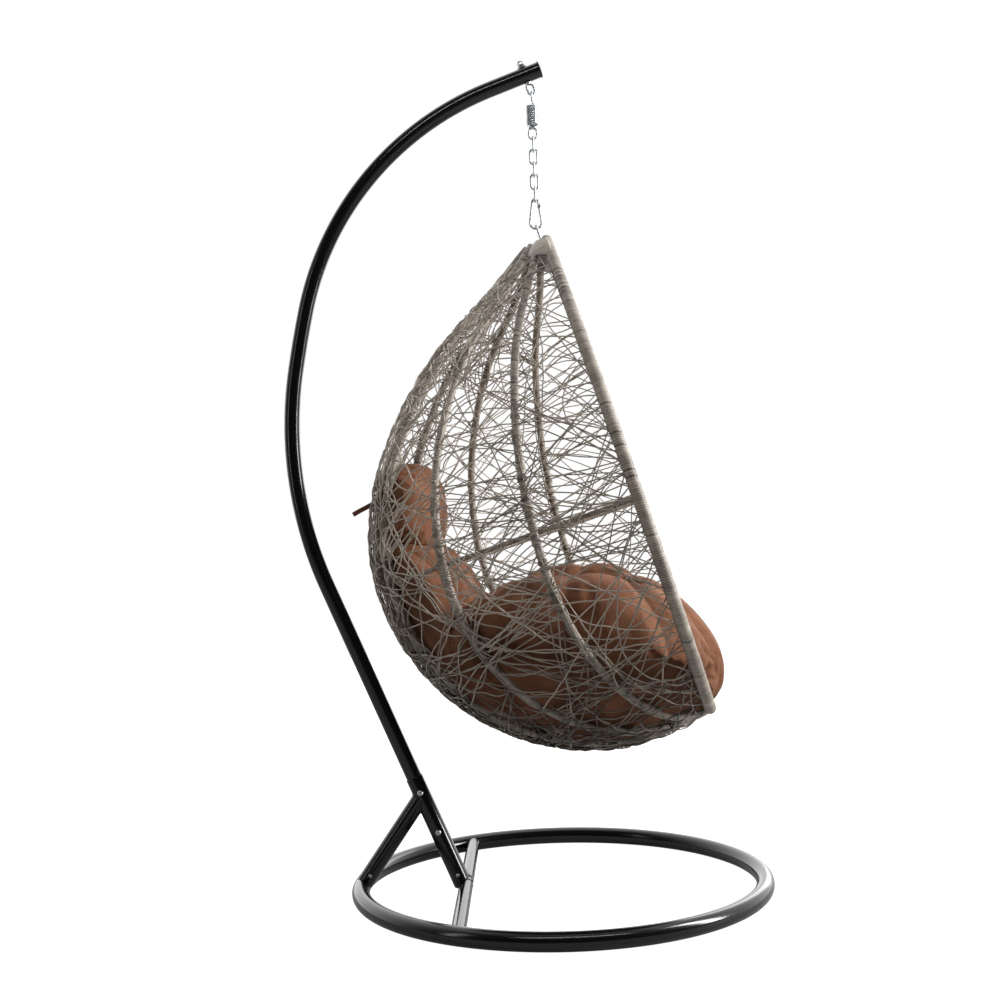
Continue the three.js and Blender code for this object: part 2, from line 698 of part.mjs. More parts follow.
// A rounded block: a sphere whose corners are filled out by the given power.
function cushionBlock({ at, half, lean, power }, grow = 0) {
  const ball = new THREE.IcosahedronGeometry(1, 5);
  const p = new THREE.Vector3();
  const position = ball.attributes.position;
  for (let i = 0; i < position.count; i += 1) {
    p.fromBufferAttribute(position, i);
    const size = (Math.abs(p.x) ** power + Math.abs(p.y) ** power + Math.abs(p.z) ** power) ** (1 / power);
    p.divideScalar(size);
    position.setXYZ(i, p.x * (half[0] + grow), p.y * (half[1] + grow), p.z * (half[2] + grow));
  }
  return solid(ball.rotateY(rad(lean)).translate(at.x, 0, at.z)
    .translate(0, 0, -eggOriginZ).rotateY(rad(EGG_TILT)));
}

// The distance between the centre lines of two crossed wires that rest on each other.
function wireTouch(a, b) {
  return (a + b) / Math.cos(Math.PI / WIRE_SIDES) + 2 * GAP;
}

// The egg hangs by its eye from the hook.
const springTopZ = eyeBottomZ + wireTouch(EYE_WIRE_R, SPRING_WIRE_R);
const springHookTopZ = springTopZ - SPRING_LOOP - SPRING_COIL - SPRING_HOOK_BELOW;
const springBottomZ = springHookTopZ - SPRING_HOOK_LENGTH;
const linkStep = LINK_LENGTH - wireTouch(LINK_WIRE_R, LINK_WIRE_R);
const firstLinkZ = springBottomZ + wireTouch(SPRING_WIRE_R, LINK_WIRE_R);
const lastLinkBottomZ = firstLinkZ - (LINK_COUNT - 1) * linkStep - LINK_LENGTH;
const hookTopZ = lastLinkBottomZ + wireTouch(LINK_WIRE_R, HOOK_WIRE_R) + HOOK_PLAY;
const hookBottomZ = hookTopZ - HOOK_LENGTH;
const eggEyeTopZ = hookBottomZ + wireTouch(HOOK_WIRE_R, EGG_EYE_R);
const eggEyeTopW = 36;
const eggOriginZ = eggEyeTopZ + eggEyeTopW / Math.cos(rad(EGG_TILT));
const eggEyeD = eggEyeTopW * Math.tan(rad(EGG_TILT));

// A staple of rod that stands in the crown: the eye that the hook goes through.
function eggEye() {
  const foot = CROWN_W[0] + 22;
  const r = EGG_EYE_HALF_WIDTH;
  const points = [new THREE.Vector3(0, -r, -foot)];
  for (let i = 0; i <= 12; i += 1) {
    const a = Math.PI * (1 - i / 12);
    points.push(new THREE.Vector3(0, r * Math.cos(a), -eggEyeTopW - r + r * Math.sin(a)));
  }
  points.push(new THREE.Vector3(0, r, -foot));
  return solid(along(new TraceCurve(points), 18, EGG_EYE_R, WIRE_SIDES)).translate([-eggEyeD, 0, 0]);
}

function crownWithEye() {
  const r = EGG_EYE_HALF_WIDTH;
  const foot = CROWN_W[0] + 22 + GAP;
  const socket = (y) => rod([-eggEyeD, y, 0], [-eggEyeD, y, -foot], EGG_EYE_R + 2 * GAP, 8);
  return crown(0).subtract(socket(r)).subtract(socket(-r));
}

// The headrest's tie: a flat tape that leaves its back and comes out between the strands.
const TIE = { width: 12, thick: 2, from: { x: -362, z: 970 }, to: { x: -457, z: 909 }, y: -60 };

function tie(grow) {
  const length = Math.hypot(TIE.to.x - TIE.from.x, TIE.to.z - TIE.from.z) + 2 * grow;
  const angle = Math.atan2(TIE.from.z - TIE.to.z, TIE.from.x - TIE.to.x);
  return solid(new THREE.BoxGeometry(length, TIE.width + 2 * grow, TIE.thick + 2 * grow)
    .rotateY(-angle).translate((TIE.from.x + TIE.to.x) / 2, TIE.y, (TIE.from.z + TIE.to.z) / 2)
    .translate(0, 0, -eggOriginZ).rotateY(rad(EGG_TILT)));
}

// ---------------------------------------------------------------- the assembly
function standParts() {
  const capAngle = Math.PI / 2 - rad(ARM_TIP_SLOPE);
  const cap = part('arm_end_cap', armEndCap(), blackPlastic);
  cap.position.set(ARM_TIP.x, 0, ARM_TIP.z);
  cap.rotation.set(Math.PI / 2, capAngle, 0, 'YXZ');
  const nut = part('eye_bolt_nut', domeNut(11, 9, 8, EYE_SHANK_R, 9.5)
    .translate(0, 0, ARM_SEAT + WASHER_THICK + GAP), zinc);
  const washer = part('eye_bolt_washer', geometryOf(
    rod([0, 0, ARM_SEAT], [0, 0, ARM_SEAT + WASHER_THICK], 12, 20)
      .subtract(rod([0, 0, 0], [0, 0, 60], EYE_SHANK_R + GAP, 12))), zinc);
  return group(
    part('base_ring', baseRing(), blackPaint),
    part('crossbar', crossbar(), blackPaint),
    part('leg', leg(), blackPaint),
    part('rear_strut', strut(), blackPaint),
    part('arm', arm(), blackPaint),
    cap,
    part('leg_bolt_upper', legBolt(BOLT_ZS[0]), zinc),
    part('leg_bolt_lower', legBolt(BOLT_ZS[1]), zinc),
    part('leg_nut_upper', legNut(BOLT_ZS[0]), zinc),
    part('leg_nut_lower', legNut(BOLT_ZS[1]), zinc),
    part('foot_screw', screw(footScrew), zinc),
    part('strut_screw', screw(strutScrew), zinc),
    onEyeBolt(part('eye_bolt', eyeBolt(), zinc)),
    onEyeBolt(washer),
    onEyeBolt(nut),
  );
}

function hangingParts() {
  const hanging = new THREE.Group();
  const hang = (name, shape, z) => {
    const mesh = part(name, shape, zinc);
    mesh.position.z = z;
    hanging.add(mesh);
  };
  hang('spring', springCoil(), springTopZ);
  hang('spring_hook', springHook(), springHookTopZ);
  for (let i = 0; i < LINK_COUNT; i += 1) {
    hang(`chain_link_${i + 1}`, chainLink(i % 2 === 0 ? 'yz' : 'xz'), firstLinkZ - i * linkStep);
  }
  hang('snap_hook', hookBody(), hookTopZ);
  hang('snap_hook_gate', hookGate(), hookTopZ);
  hang('snap_hook_pin', gatePin(), hookTopZ);
  return hanging;
}

function eggParts() {
  const room = roomInside(BACKREST_INSET);
  const seat = roomInside(SEAT_INSET).intersect(cushionBlock(SEAT)).subtract(cushionBlock(SEAT_BOWL));
  const seatOutside = cushionBlock(SEAT, 1);
  const backrest = room.intersect(cushionBlock(BACKREST)).subtract(seatOutside);
  const headrest = room.intersect(cushionBlock(HEADREST)).subtract(cushionBlock(BACKREST, 1)).subtract(tie(0.5));
  const { front, middle, rear } = RIB_ANGLES;
  return group(
    part('crown', crownWithEye(), rattan),
    part('egg_eye', eggEye(), zinc),
    part('rim', rimSolid.subtract(crownOutside), rattan),
    part('rib_right_front', rib(front), rattan),
    part('rib_right_middle', rib(middle), rattan),
    part('rib_right_rear', rib(rear), rattan),
    part('rib_back', rib(90), rattan),
    part('rib_left_rear', rib(180 - rear), rattan),
    part('rib_left_middle', rib(180 - middle), rattan),
    part('rib_left_front', rib(180 - front), rattan),
    part('hoop', hoop(), rattan),
    part('rib_hub', hubSolid, rattan),
    part('wicker', wicker(tie(3)), rattan),
    part('seat_cushion', seat, cushionCloth),
    part('backrest_cushion', backrest, cushionCloth),
    part('headrest_cushion', headrest, cushionCloth),
    part('headrest_tie', tie(0), cushionCloth),
  );
}

const ringCentreX = (RING_R + RING_TUBE_R - armRearReach()) / -2;

function armRearReach() {
  return Math.max(...armEnd.map((p) => -p.x)) + ARM_R;
}

const tilted = eggParts();
tilted.rotation.y = -rad(EGG_TILT);
tilted.position.z = eggOriginZ;
const egg = group(tilted);
egg.rotation.z = rad(EGG_YAW);
egg.position.x = pivotX;

const hanging = hangingParts();
hanging.position.x = pivotX;

const chair = group(standParts(), hanging, egg);
chair.name = 'hanging_egg_chair';
chair.position.set(ringCentreX, SIDE_SHIFT, 0);

export default chair;
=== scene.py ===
"""Hanging egg chair: a gloss black arm on a ring base, a zinc spring and chain, a wicker egg and
its cushions.

Metres in Blender, millimetres in the constants. The chair's front looks along +X, its left side
is +Y.
"""

import math

import bmesh
import bpy
import numpy as np
from mathutils import Matrix, Vector
from mathutils.bvhtree import BVHTree


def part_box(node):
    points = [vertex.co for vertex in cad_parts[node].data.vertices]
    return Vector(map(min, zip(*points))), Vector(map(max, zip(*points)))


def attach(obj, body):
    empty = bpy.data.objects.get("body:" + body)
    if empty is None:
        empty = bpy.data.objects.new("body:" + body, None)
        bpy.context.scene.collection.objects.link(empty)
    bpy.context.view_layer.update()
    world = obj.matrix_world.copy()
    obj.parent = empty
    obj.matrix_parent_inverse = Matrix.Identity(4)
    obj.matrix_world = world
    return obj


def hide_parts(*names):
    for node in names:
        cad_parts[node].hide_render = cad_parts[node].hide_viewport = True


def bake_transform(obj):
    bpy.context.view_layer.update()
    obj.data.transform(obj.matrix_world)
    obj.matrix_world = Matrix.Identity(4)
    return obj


bl_info = {
    "name": "Hanging egg chair",
    "version": (1, 0, 0),
    "blender": (4, 5, 0),
    "location": "View3D > Sidebar > Egg chair",
    "description": "Dresses the packed frame of a hanging wicker egg chair",
    "category": "Add Mesh",
}

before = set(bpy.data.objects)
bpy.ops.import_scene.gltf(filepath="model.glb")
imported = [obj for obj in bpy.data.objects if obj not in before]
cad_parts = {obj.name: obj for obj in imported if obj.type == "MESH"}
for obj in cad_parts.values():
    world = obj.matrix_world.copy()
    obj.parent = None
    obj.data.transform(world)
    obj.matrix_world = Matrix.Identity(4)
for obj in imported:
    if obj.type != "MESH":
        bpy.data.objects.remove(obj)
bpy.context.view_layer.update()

MM = 0.001


def middle_of(node):
    low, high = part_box(node)
    return (low + high) / 2


# ---------------------------------------------------------------- sizes that the frame fixes
RING_CENTRE = middle_of("base_ring")
RING_TUBE_R = (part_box("base_ring")[1].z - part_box("base_ring")[0].z) / 2
RING_R = (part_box("base_ring")[1].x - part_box("base_ring")[0].x) / 2 - RING_TUBE_R
CROSSBAR_X = middle_of("crossbar").x
PLUMB = Vector((middle_of("chain_link_1").x, middle_of("chain_link_1").y, 0))
SIDE_Y = PLUMB.y

# The arm in the plane of the stand, from its tip backwards and down
ARM_R = 19
ARM_TIP = (11, 1968)
ARM_TIP_SLOPE = math.radians(19.7)
ARM_TIP_STRAIGHT = 128
ARM_BENDS = ((723, 57.2), (2480, 3.5), (930, 32.3))     # radius and sweep in degrees
ARM_END_Z = 112
LEG_R = 21
LEG_TOP_Z, LEG_FOOT_Z = 280, 14
CROSSBAR_R = 16.5
STRUT_R = 20
STRUT_TOP = (-326, 237)
BOLT_HEIGHTS = {"upper": 244, "lower": 149}
FOOT_SCREW_Z = 46
STRUT_SCREW = (-457, 50)
EYE_BOLT_FROM_TIP = 36
EYE_DROP = 49
EYE_WIRE_R = 3
EYE_HALF_WIDTH = 8

SPRING_WIRE_R, SPRING_COIL_R, SPRING_TURNS = 2.4, 12.9, 10
SPRING_COIL, SPRING_LOOP, SPRING_LOOP_R = 54, 30, 9.5
SPRING_HOOK_LENGTH = 26
LINK_WIRE_R, LINK_HALF_WIDTH, LINK_LENGTH = 2.5, 8.8, 36.6
HOOK_WIRE_R, HOOK_LENGTH, HOOK_TOP_R, HOOK_BOTTOM_R = 3, 71, 7.2, 14
GATE_FROM, GATE_TO = 0.335, 0.528

# The egg's skin on the rib centre lines, hung by its eye
EGG_YAW = math.radians(-4.6)
EGG_TILT = math.radians(17.24)
APEX_W, RIM_WIDE_W, RIM_HALF_WIDTH, RIM_TIP_W = 62, 840, 493, 1255
BACK_DEEP_W, BACK_DEPTH, BELLY_D, BELLY_DROP = 760, 645, 150, 515
SHOULDER = 0.83
TOP_FLAT, TOP_FLAT_AT, TOP_FLAT_SPAN = 0.16, 0.1, 0.13
RIM_BOW = 5
RIB_ANGLES = {
    "rib_right_front": 20.5, "rib_right_middle": 43.4, "rib_right_rear": 66.5, "rib_back": 90,
    "rib_left_rear": 113.5, "rib_left_middle": 136.6, "rib_left_front": 159.5,
}
HOOP_W = 740
HOOP_INSET, HOOP_WRAP_R = 16.4, 5.8
FRAME_START = 0.035
# The crown's half section as (radius, depth below the apex), and the line of its oblique lower edge
CROWN_PROFILE = (
    (124, 154), (131, 148), (128, 140), (118, 125), (104, 110), (84, 95), (64, 84), (42, 78),
    (0, 75),
)
CROWN_FOOT = ((-72, 106), (14, 152))
CROWN_DEPTH_SHARE, CROWN_FRONT = 0.66, 14
# The last of these is how far up from its lower edge the crown is painted with shade, in
# millimetres.
CROWN_TURN, CROWN_STEP, CROWN_GROOVE_DEPTH, CROWN_PAINTED_SHADE_EDGE = 6, 1.5, 0.7, 7
EGG_EYE_R, EGG_EYE_HALF_WIDTH, EGG_EYE_TOP_W, EGG_EYE_FOOT_W = 3, 9, 36, 92
TIE_FROM, TIE_TO, TIE_Y = (-362, 970), (-457, 909), -60
TIE_WIDTH, TIE_THICKNESS = 11, 1.6

EGG_TURN = Matrix.Rotation(EGG_YAW, 4, "Z")


# ---------------------------------------------------------------- places
def on_stand(x, z, y=0.0):
    """A point of the stand, in millimetres from the ring's centre, as metres in the row frame."""
    return Vector((x * MM + RING_CENTRE.x, y * MM + SIDE_Y, z * MM))


def upright(x, y, z):
    """A point of the egg in its upright frame, in millimetres, as metres in the row frame."""
    return PLUMB + EGG_TURN.to_3x3() @ Vector((x, y, z)) * MM


def top_wire(node, wire_r):
    """Height of the centre line of a hung wire loop's top."""
    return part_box(node)[1].z - wire_r * MM / math.cos(math.pi / 6)


EGG_Z = top_wire("egg_eye", EGG_EYE_R) / MM + EGG_EYE_TOP_W / math.cos(EGG_TILT)


def egg_points(local):
    """Rows of egg frame millimetres as rows of row frame metres."""
    c, s = math.cos(EGG_TILT), math.sin(EGG_TILT)
    x = local[..., 0] * c - local[..., 2] * s
    z = local[..., 0] * s + local[..., 2] * c + EGG_Z
    y = local[..., 1]
    cy, sy = math.cos(EGG_YAW), math.sin(EGG_YAW)
    turned = np.stack([x * cy - y * sy, x * sy + y * cy, z], axis=-1) * MM
    return turned + np.array(PLUMB)


def arm_places():
    """The arm's tip, the ends of its straights and bends, and the slope at each, in the stand's
    plane."""
    x, z = ARM_TIP
    slope = ARM_TIP_SLOPE
    places = [(x, z, slope)]
    x -= ARM_TIP_STRAIGHT * math.cos(slope)
    z -= ARM_TIP_STRAIGHT * math.sin(slope)
    places.append((x, z, slope))
    for radius, sweep in ARM_BENDS:
        cx, cz = x + radius * math.sin(slope), z - radius * math.cos(slope)
        slope += math.radians(sweep)
        x, z = cx - radius * math.sin(slope), cz + radius * math.cos(slope)
        places.append((x, z, slope))
    return places


def on_leg(z):
    """The leg's centre line at a height, in the stand's plane."""
    x, top, slope = arm_places()[-1]
    return x - (top - z) / math.tan(slope)


def across_arm(distance):
    """A point on the eye bolt's axis, at a distance below the arm's centre line."""
    c, s = math.cos(ARM_TIP_SLOPE), math.sin(ARM_TIP_SLOPE)
    return (ARM_TIP[0] - EYE_BOLT_FROM_TIP * c + distance * s,
            ARM_TIP[1] - EYE_BOLT_FROM_TIP * s - distance * c)


# ---------------------------------------------------------------- materials
def linear(hex_colour):
    """An sRGB hex value as linear red, green, blue and alpha."""
    shares = [int(hex_colour[i:i + 2], 16) / 255 for i in (1, 3, 5)]
    return (*[c / 12.92 if c <= 0.04045 else ((c + 0.055) / 1.055) ** 2.4 for c in shares], 1.0)


def put(tree, kind, inputs=None, **settings):
    """Adds a shader node with its settings, and its inputs as values or as links from sockets."""
    made = tree.nodes.new("ShaderNode" + kind)
    for key, value in settings.items():
        setattr(made, key, value)
    for key, value in (inputs or {}).items():
        if isinstance(value, bpy.types.NodeSocket):
            tree.links.new(value, made.inputs[key])
        else:
            made.inputs[key].default_value = value
    return made


MIX_SHARE, MIX_A, MIX_B, MIX_RESULT = 0, 6, 7, 2


def blank_material(name, values):
    """A new node material with its shader's own values, and the place that patterns start from."""
    material = bpy.data.materials.new(name)
    material.use_nodes = True
    tree = material.node_tree
    shader = tree.nodes["Principled BSDF"]
    for key, value in values.items():
        shader.inputs[key].default_value = value
    return material, tree, shader, put(tree, "TexCoord").outputs["Object"]


def fine_relief(tree, shader, place, scale, detail, strength, depth):
    """A fine random relief all over the surface, its depth in metres."""
    grain = put(tree, "TexNoise", {"Vector": place, "Scale": scale, "Detail": detail})
    bump = put(tree, "Bump",
               {"Height": grain.outputs["Fac"], "Strength": strength, "Distance": depth})
    tree.links.new(bump.outputs["Normal"], shader.inputs["Normal"])


def powder_coat(colour):
    """Gloss black powder coat on steel: deep black that mirrors the lamps, over a faint orange
    peel."""
    material, tree, shader, place = blank_material(
        "Powder-coated steel, gloss black", {"Base Color": colour, "IOR": 1.5})
    haze = put(tree, "TexNoise", {"Vector": place, "Scale": 14.0, "Detail": 3.0})
    rough = put(tree, "MapRange", {"Value": haze.outputs["Fac"], "To Min": 0.13, "To Max": 0.22})
    tree.links.new(rough.outputs["Result"], shader.inputs["Roughness"])
    # Orange peel is about 2 mm across.
    fine_relief(tree, shader, place, 480.0, 1.0, 0.06, 0.0002)
    return material


def zinc_plate(colour):
    """Bright zinc-plated steel wire: a pale metal shine with duller, bluish patches a few
    millimetres wide."""
    material, tree, shader, place = blank_material("Zinc-plated steel, bright", {"Metallic": 1.0})
    patches = put(tree, "TexNoise",
                  {"Vector": place, "Scale": 130.0, "Detail": 3.0, "Roughness": 0.6})
    tint = put(tree, "Mix",
               {MIX_SHARE: patches.outputs["Fac"], MIX_A: colour, MIX_B: linear("#9ea4a8")},
               data_type="RGBA")
    tree.links.new(tint.outputs[MIX_RESULT], shader.inputs["Base Color"])
    rough = put(tree, "MapRange", {"Value": patches.outputs["Fac"], "To Min": 0.2, "To Max": 0.4})
    tree.links.new(rough.outputs["Result"], shader.inputs["Roughness"])
    fine_relief(tree, shader, place, 1500.0, 1.0, 0.05, 0.0001)
    return material


def black_plastic():
    """Moulded polypropylene: a soft satin black with a fine spark-eroded grain."""
    material, tree, shader, place = blank_material(
        "Polypropylene, moulded black",
        {"Base Color": linear("#17171a"), "Roughness": 0.42, "IOR": 1.49})
    fine_relief(tree, shader, place, 1800.0, 2.0, 0.15, 0.0002)
    return material


def rattan_strand(light, dark):
    """Extruded polyethylene strand: satin taupe, drawn with fine scuffs, each strand its own tone
    at random, and painted shade on the strands low under the egg."""
    material, tree, shader, place = blank_material(
        "Polyethylene rattan, round strand", {"IOR": 1.5, "Roughness": 0.46})
    tone = put(tree, "Attribute", attribute_name="tone")
    cloud = put(tree, "TexNoise", {"Vector": place, "Scale": 22.0, "Detail": 3.0})
    share = put(tree, "Math", {0: tone.outputs["Fac"], 1: cloud.outputs["Fac"]},
                operation="MULTIPLY")
    share = put(tree, "MapRange",
                {"Value": share.outputs["Value"], "From Min": 0.05, "From Max": 0.6})
    tint = put(tree, "Mix", {MIX_SHARE: share.outputs["Result"], MIX_A: light, MIX_B: dark},
               data_type="RGBA")
    tree.links.new(tint.outputs[MIX_RESULT], shader.inputs["Base Color"])
    fine_relief(tree, shader, place, 700.0, 2.0, 0.2, 0.0004)
    return material


def rattan_wrap(light, dark):
    """Flat polyethylene strand wound turn by turn: satin taupe bands, with painted shade in the
    lines where two turns meet."""
    material, tree, shader, place = blank_material(
        "Polyethylene rattan, flat strand wrap", {"IOR": 1.5, "Roughness": 0.44})
    cloud = put(tree, "TexNoise", {"Vector": place, "Scale": 30.0, "Detail": 4.0})
    share = put(tree, "MapRange", {"Value": cloud.outputs["Fac"], "From Min": 0.4, "From Max": 1.0})
    tint = put(tree, "Mix", {MIX_SHARE: share.outputs["Result"], MIX_A: light, MIX_B: dark},
               data_type="RGBA")
    # The groove attribute paints shade into the lines and gaps between turns, mixed with a random
    # darker tone for each turn.
    groove = put(tree, "Attribute", attribute_name="groove")
    seam = put(tree, "Mix", {MIX_SHARE: groove.outputs["Fac"], MIX_A: tint.outputs[MIX_RESULT],
                             MIX_B: linear("#231f1b")}, data_type="RGBA")
    tree.links.new(seam.outputs[MIX_RESULT], shader.inputs["Base Color"])
    fine_relief(tree, shader, place, 600.0, 2.0, 0.2, 0.0004)
    return material


def cushion_cloth(light, dark):
    """Woven polyester, piece-dyed brown: matt cloth with a plain weave, a soft bloom and paler
    patches."""
    material, tree, shader, place = blank_material(
        "Woven polyester, brown",
        {"Roughness": 0.86, "Sheen Weight": 0.02, "Sheen Roughness": 0.45,
         "Specular IOR Level": 0.06})
    cloud = put(tree, "TexNoise", {"Vector": place, "Scale": 11.0, "Detail": 4.0})
    share = put(tree, "MapRange",
                {"Value": cloud.outputs["Fac"], "From Min": 0.32, "From Max": 0.68})
    tint = put(tree, "Mix", {MIX_SHARE: share.outputs["Result"], MIX_A: light, MIX_B: dark},
               data_type="RGBA")
    # The groove attribute paints shade into the seams, tufts, slots and channels.
    painted_crease_shade = put(tree, "Attribute", attribute_name="groove")
    seam = put(tree, "Mix", {MIX_SHARE: painted_crease_shade.outputs["Fac"], MIX_A: tint.outputs[MIX_RESULT],
                             MIX_B: linear("#2a150d")}, data_type="RGBA")
    tree.links.new(seam.outputs[MIX_RESULT], shader.inputs["Base Color"])
    # The real thread is 0.4 mm; it is drawn at 2 mm so that it shows.
    turned = put(tree, "Mapping", {"Vector": place, "Rotation": (0.3, 0.5, 0.78)})
    warp = put(tree, "TexWave",
               {"Vector": turned.outputs["Vector"], "Scale": 160.0, "Distortion": 0.6},
               bands_direction="X")
    weft = put(tree, "TexWave",
               {"Vector": turned.outputs["Vector"], "Scale": 160.0, "Distortion": 0.6},
               bands_direction="Z")
    weave = put(tree, "Math", {0: warp.outputs["Fac"], 1: weft.outputs["Fac"]},
                operation="MULTIPLY")
    creases = put(tree, "TexNoise",
                  {"Vector": place, "Scale": 34.0, "Detail": 4.0, "Distortion": 1.2})
    wrinkle = put(tree, "Bump",
                  {"Height": creases.outputs["Fac"], "Strength": 0.5, "Distance": 0.006})
    bump = put(tree, "Bump",
               {"Height": weave.outputs["Value"], "Strength": 0.25, "Distance": 0.0008,
                              "Normal": wrinkle.outputs["Normal"]})
    tree.links.new(bump.outputs["Normal"], shader.inputs["Normal"])
    return material


def lit_acrylic(colour, glow):
    """Opal acrylic sheet lit from below: an even white table that leaves only faint, soft
    shadows."""
    material, tree, shader, place = blank_material(
        "Opal acrylic, lit from below",
        {"Base Color": colour, "Roughness": 0.6, "IOR": 1.49, "Specular IOR Level": 0.1,
         "Emission Color": (1, 1, 1, 1)})
    path = put(tree, "LightPath")
    light = put(tree, "MapRange",
                {"Value": path.outputs["Is Camera Ray"], "To Min": glow, "To Max": 1.0})
    tree.links.new(light.outputs["Result"], shader.inputs["Emission Strength"])
    fine_relief(tree, shader, place, 900.0, 1.0, 0.05, 0.0002)
    return material


FINISHES = {}


def finish_of(slot):
    """The one material of a slot, made the first time it is asked for."""
    settings = bpy.context.scene.egg_chair_colours
    makers = {
        "frame_paint": lambda: powder_coat((*settings.paint, 1)),
        "zinc_steel": lambda: zinc_plate((*settings.zinc, 1)),
        "black_plastic": black_plastic,
        "rattan_weave": lambda: rattan_strand((*settings.rattan_light, 1),
                                              (*settings.rattan_dark, 1)),
        "rattan_wrap": lambda: rattan_wrap((*settings.rattan_light, 1), (*settings.rattan_dark, 1)),
        "cushion_cloth": lambda: cushion_cloth((*settings.cloth_light, 1),
                                               (*settings.cloth_dark, 1)),
    }
    if slot not in FINISHES:
        FINISHES[slot] = makers[slot]()
    return FINISHES[slot]


# ---------------------------------------------------------------- making pieces
def aim(direction):
    """A turn that carries +Z to a direction."""
    return Vector(direction).to_track_quat("Z", "Y").to_matrix().to_4x4()


def new_object(name, mesh):
    made = bpy.data.objects.new(name, mesh)
    bpy.context.scene.collection.objects.link(made)
    return made


def set_piece(name, bm, body, slot, *nodes, sharp=40.0):
    """Ends a bmesh as a piece: outward faces, smooth shading but for sharp edges, its body and the
    material of its slot, and hides its nodes."""
    bmesh.ops.recalc_face_normals(bm, faces=bm.faces)
    for face in bm.faces:
        face.smooth = True
    for edge in bm.edges:
        edge.smooth = not (edge.is_manifold and edge.calc_face_angle(0) > math.radians(sharp))
    mesh = bpy.data.meshes.new(name)
    bm.to_mesh(mesh)
    bm.free()
    return dress(new_object(name, mesh), body, slot, *nodes)


def dress(piece, body, slot, *nodes):
    """Gives a piece the material of its slot and its body, and hides the nodes it stands for."""
    piece.data.materials.clear()
    piece.data.materials.append(finish_of(slot))
    if body:
        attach(piece, body)
    if nodes:
        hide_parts(*nodes)
    return piece


def evaluated_mesh(made):
    """A new mesh of what an object's curve or modifiers give."""
    graph = bpy.context.evaluated_depsgraph_get()
    return bpy.data.meshes.new_from_object(made.evaluated_get(graph))


def edges_of(verts):
    return list({e for v in verts for e in v.link_edges})


def ease_edges(bm, edges, width, segments):
    """Rounds edges off by a width in metres."""
    bmesh.ops.bevel(bm, geom=edges, offset=width, offset_type="OFFSET", segments=segments,
                    profile=0.5, affect="EDGES", clamp_overlap=True, material=-1)


def fill_holes(bm):
    bmesh.ops.holes_fill(bm, edges=[e for e in bm.edges if e.is_boundary], sides=0)


def cut_away(bm, at, way):
    """Takes off what lies beyond a plane, and closes the cut."""
    bmesh.ops.bisect_plane(bm, geom=bm.verts[:] + bm.edges[:] + bm.faces[:], dist=1e-6,
                           plane_co=at, plane_no=way, clear_outer=True)
    fill_holes(bm)


def add_rod(bm, start, end, radius, sides=48, round_end=0.0):
    """A rod between two points in metres, its radius in metres, its ends rounded if asked."""
    start, end = Vector(start), Vector(end)
    made = bmesh.ops.create_cone(
        bm, cap_ends=True, cap_tris=False, segments=sides, radius1=radius, radius2=radius,
        depth=(end - start).length, matrix=Matrix.Translation((start + end) / 2) @ aim(end - start))
    if round_end:
        rims = [e for e in edges_of(made["verts"]) if any(len(f.verts) > 4 for f in e.link_faces)]
        ease_edges(bm, rims, round_end, 3)


def add_turned(bm, profile, place, steps=48):
    """Spins a profile of (radius, height) millimetres about its own z axis, then sets it in
    place."""
    old = set(bm.verts)
    verts = [bm.verts.new((r * MM, 0, z * MM)) for r, z in profile]
    edges = [bm.edges.new(pair) for pair in zip(verts, verts[1:])]
    bmesh.ops.spin(bm, geom=verts + edges, cent=(0, 0, 0), axis=(0, 0, 1), dvec=(0, 0, 0),
                   angle=2 * math.pi, steps=steps, use_merge=True, use_duplicate=False)
    bmesh.ops.remove_doubles(bm, verts=[v for v in bm.verts if v not in old], dist=1e-6)
    bmesh.ops.transform(bm, matrix=place, verts=[v for v in bm.verts if v not in old])


HEXAGON_EASE = 0.6


def add_hexagon(bm, across, low, high, place):
    """A hexagonal prism in millimetres, its edges eased."""
    made = bmesh.ops.create_cone(
        bm, cap_ends=True, cap_tris=False, segments=6, radius1=across * MM, radius2=across * MM,
        depth=(high - low) * MM, matrix=place @ Matrix.Translation((0, 0, (low + high) / 2 * MM)))
    ease_edges(bm, edges_of(made["verts"]), HEXAGON_EASE * MM, 2)


def add_block(bm, centre, size, ease):
    """A block with eased edges, its centre in metres and its size in millimetres."""
    made = bmesh.ops.create_cube(
        bm, size=1.0,
        matrix=Matrix.Translation(centre) @ Matrix.Diagonal((*[s * MM for s in size], 1)))
    ease_edges(bm, edges_of(made["verts"]), ease * MM, 3)


def tube_mesh(runs, radius, sides=12, closed=False):
    """Open tubes along runs of points in metres, by way of a curve with a round bevel, a ring for
    each point."""
    curve = bpy.data.curves.new("runs", "CURVE")
    curve.dimensions = "3D"
    curve.bevel_depth = radius * MM
    curve.bevel_resolution = max(0, sides // 2 - 2)
    curve.twist_mode = "MINIMUM"
    for run in runs:
        line = curve.splines.new("POLY")
        line.points.add(len(run) - 1)
        line.points.foreach_set("co",
                                np.hstack([run, np.ones((len(run), 1))]).astype(np.float32).ravel())
        line.use_cyclic_u = closed
    carrier = new_object("runs", curve)
    mesh = evaluated_mesh(carrier)
    bpy.data.objects.remove(carrier)
    bpy.data.curves.remove(curve)
    return mesh


def close_ends(mesh):
    """Fills the open ends of a mesh of tubes."""
    bm = bmesh.new()
    bm.from_mesh(mesh)
    fill_holes(bm)
    for face in bm.faces:
        face.smooth = len(face.verts) == 4
    bm.to_mesh(mesh)
    bm.free()


def add_wire(bm, run, radius, sides=12, closed=False):
    """Adds a tube along points in metres to a bmesh, with its ends filled."""
    mesh = tube_mesh([np.array(run, float)], radius, sides, closed)
    close_ends(mesh)
    bm.from_mesh(mesh)
    bpy.data.meshes.remove(mesh)


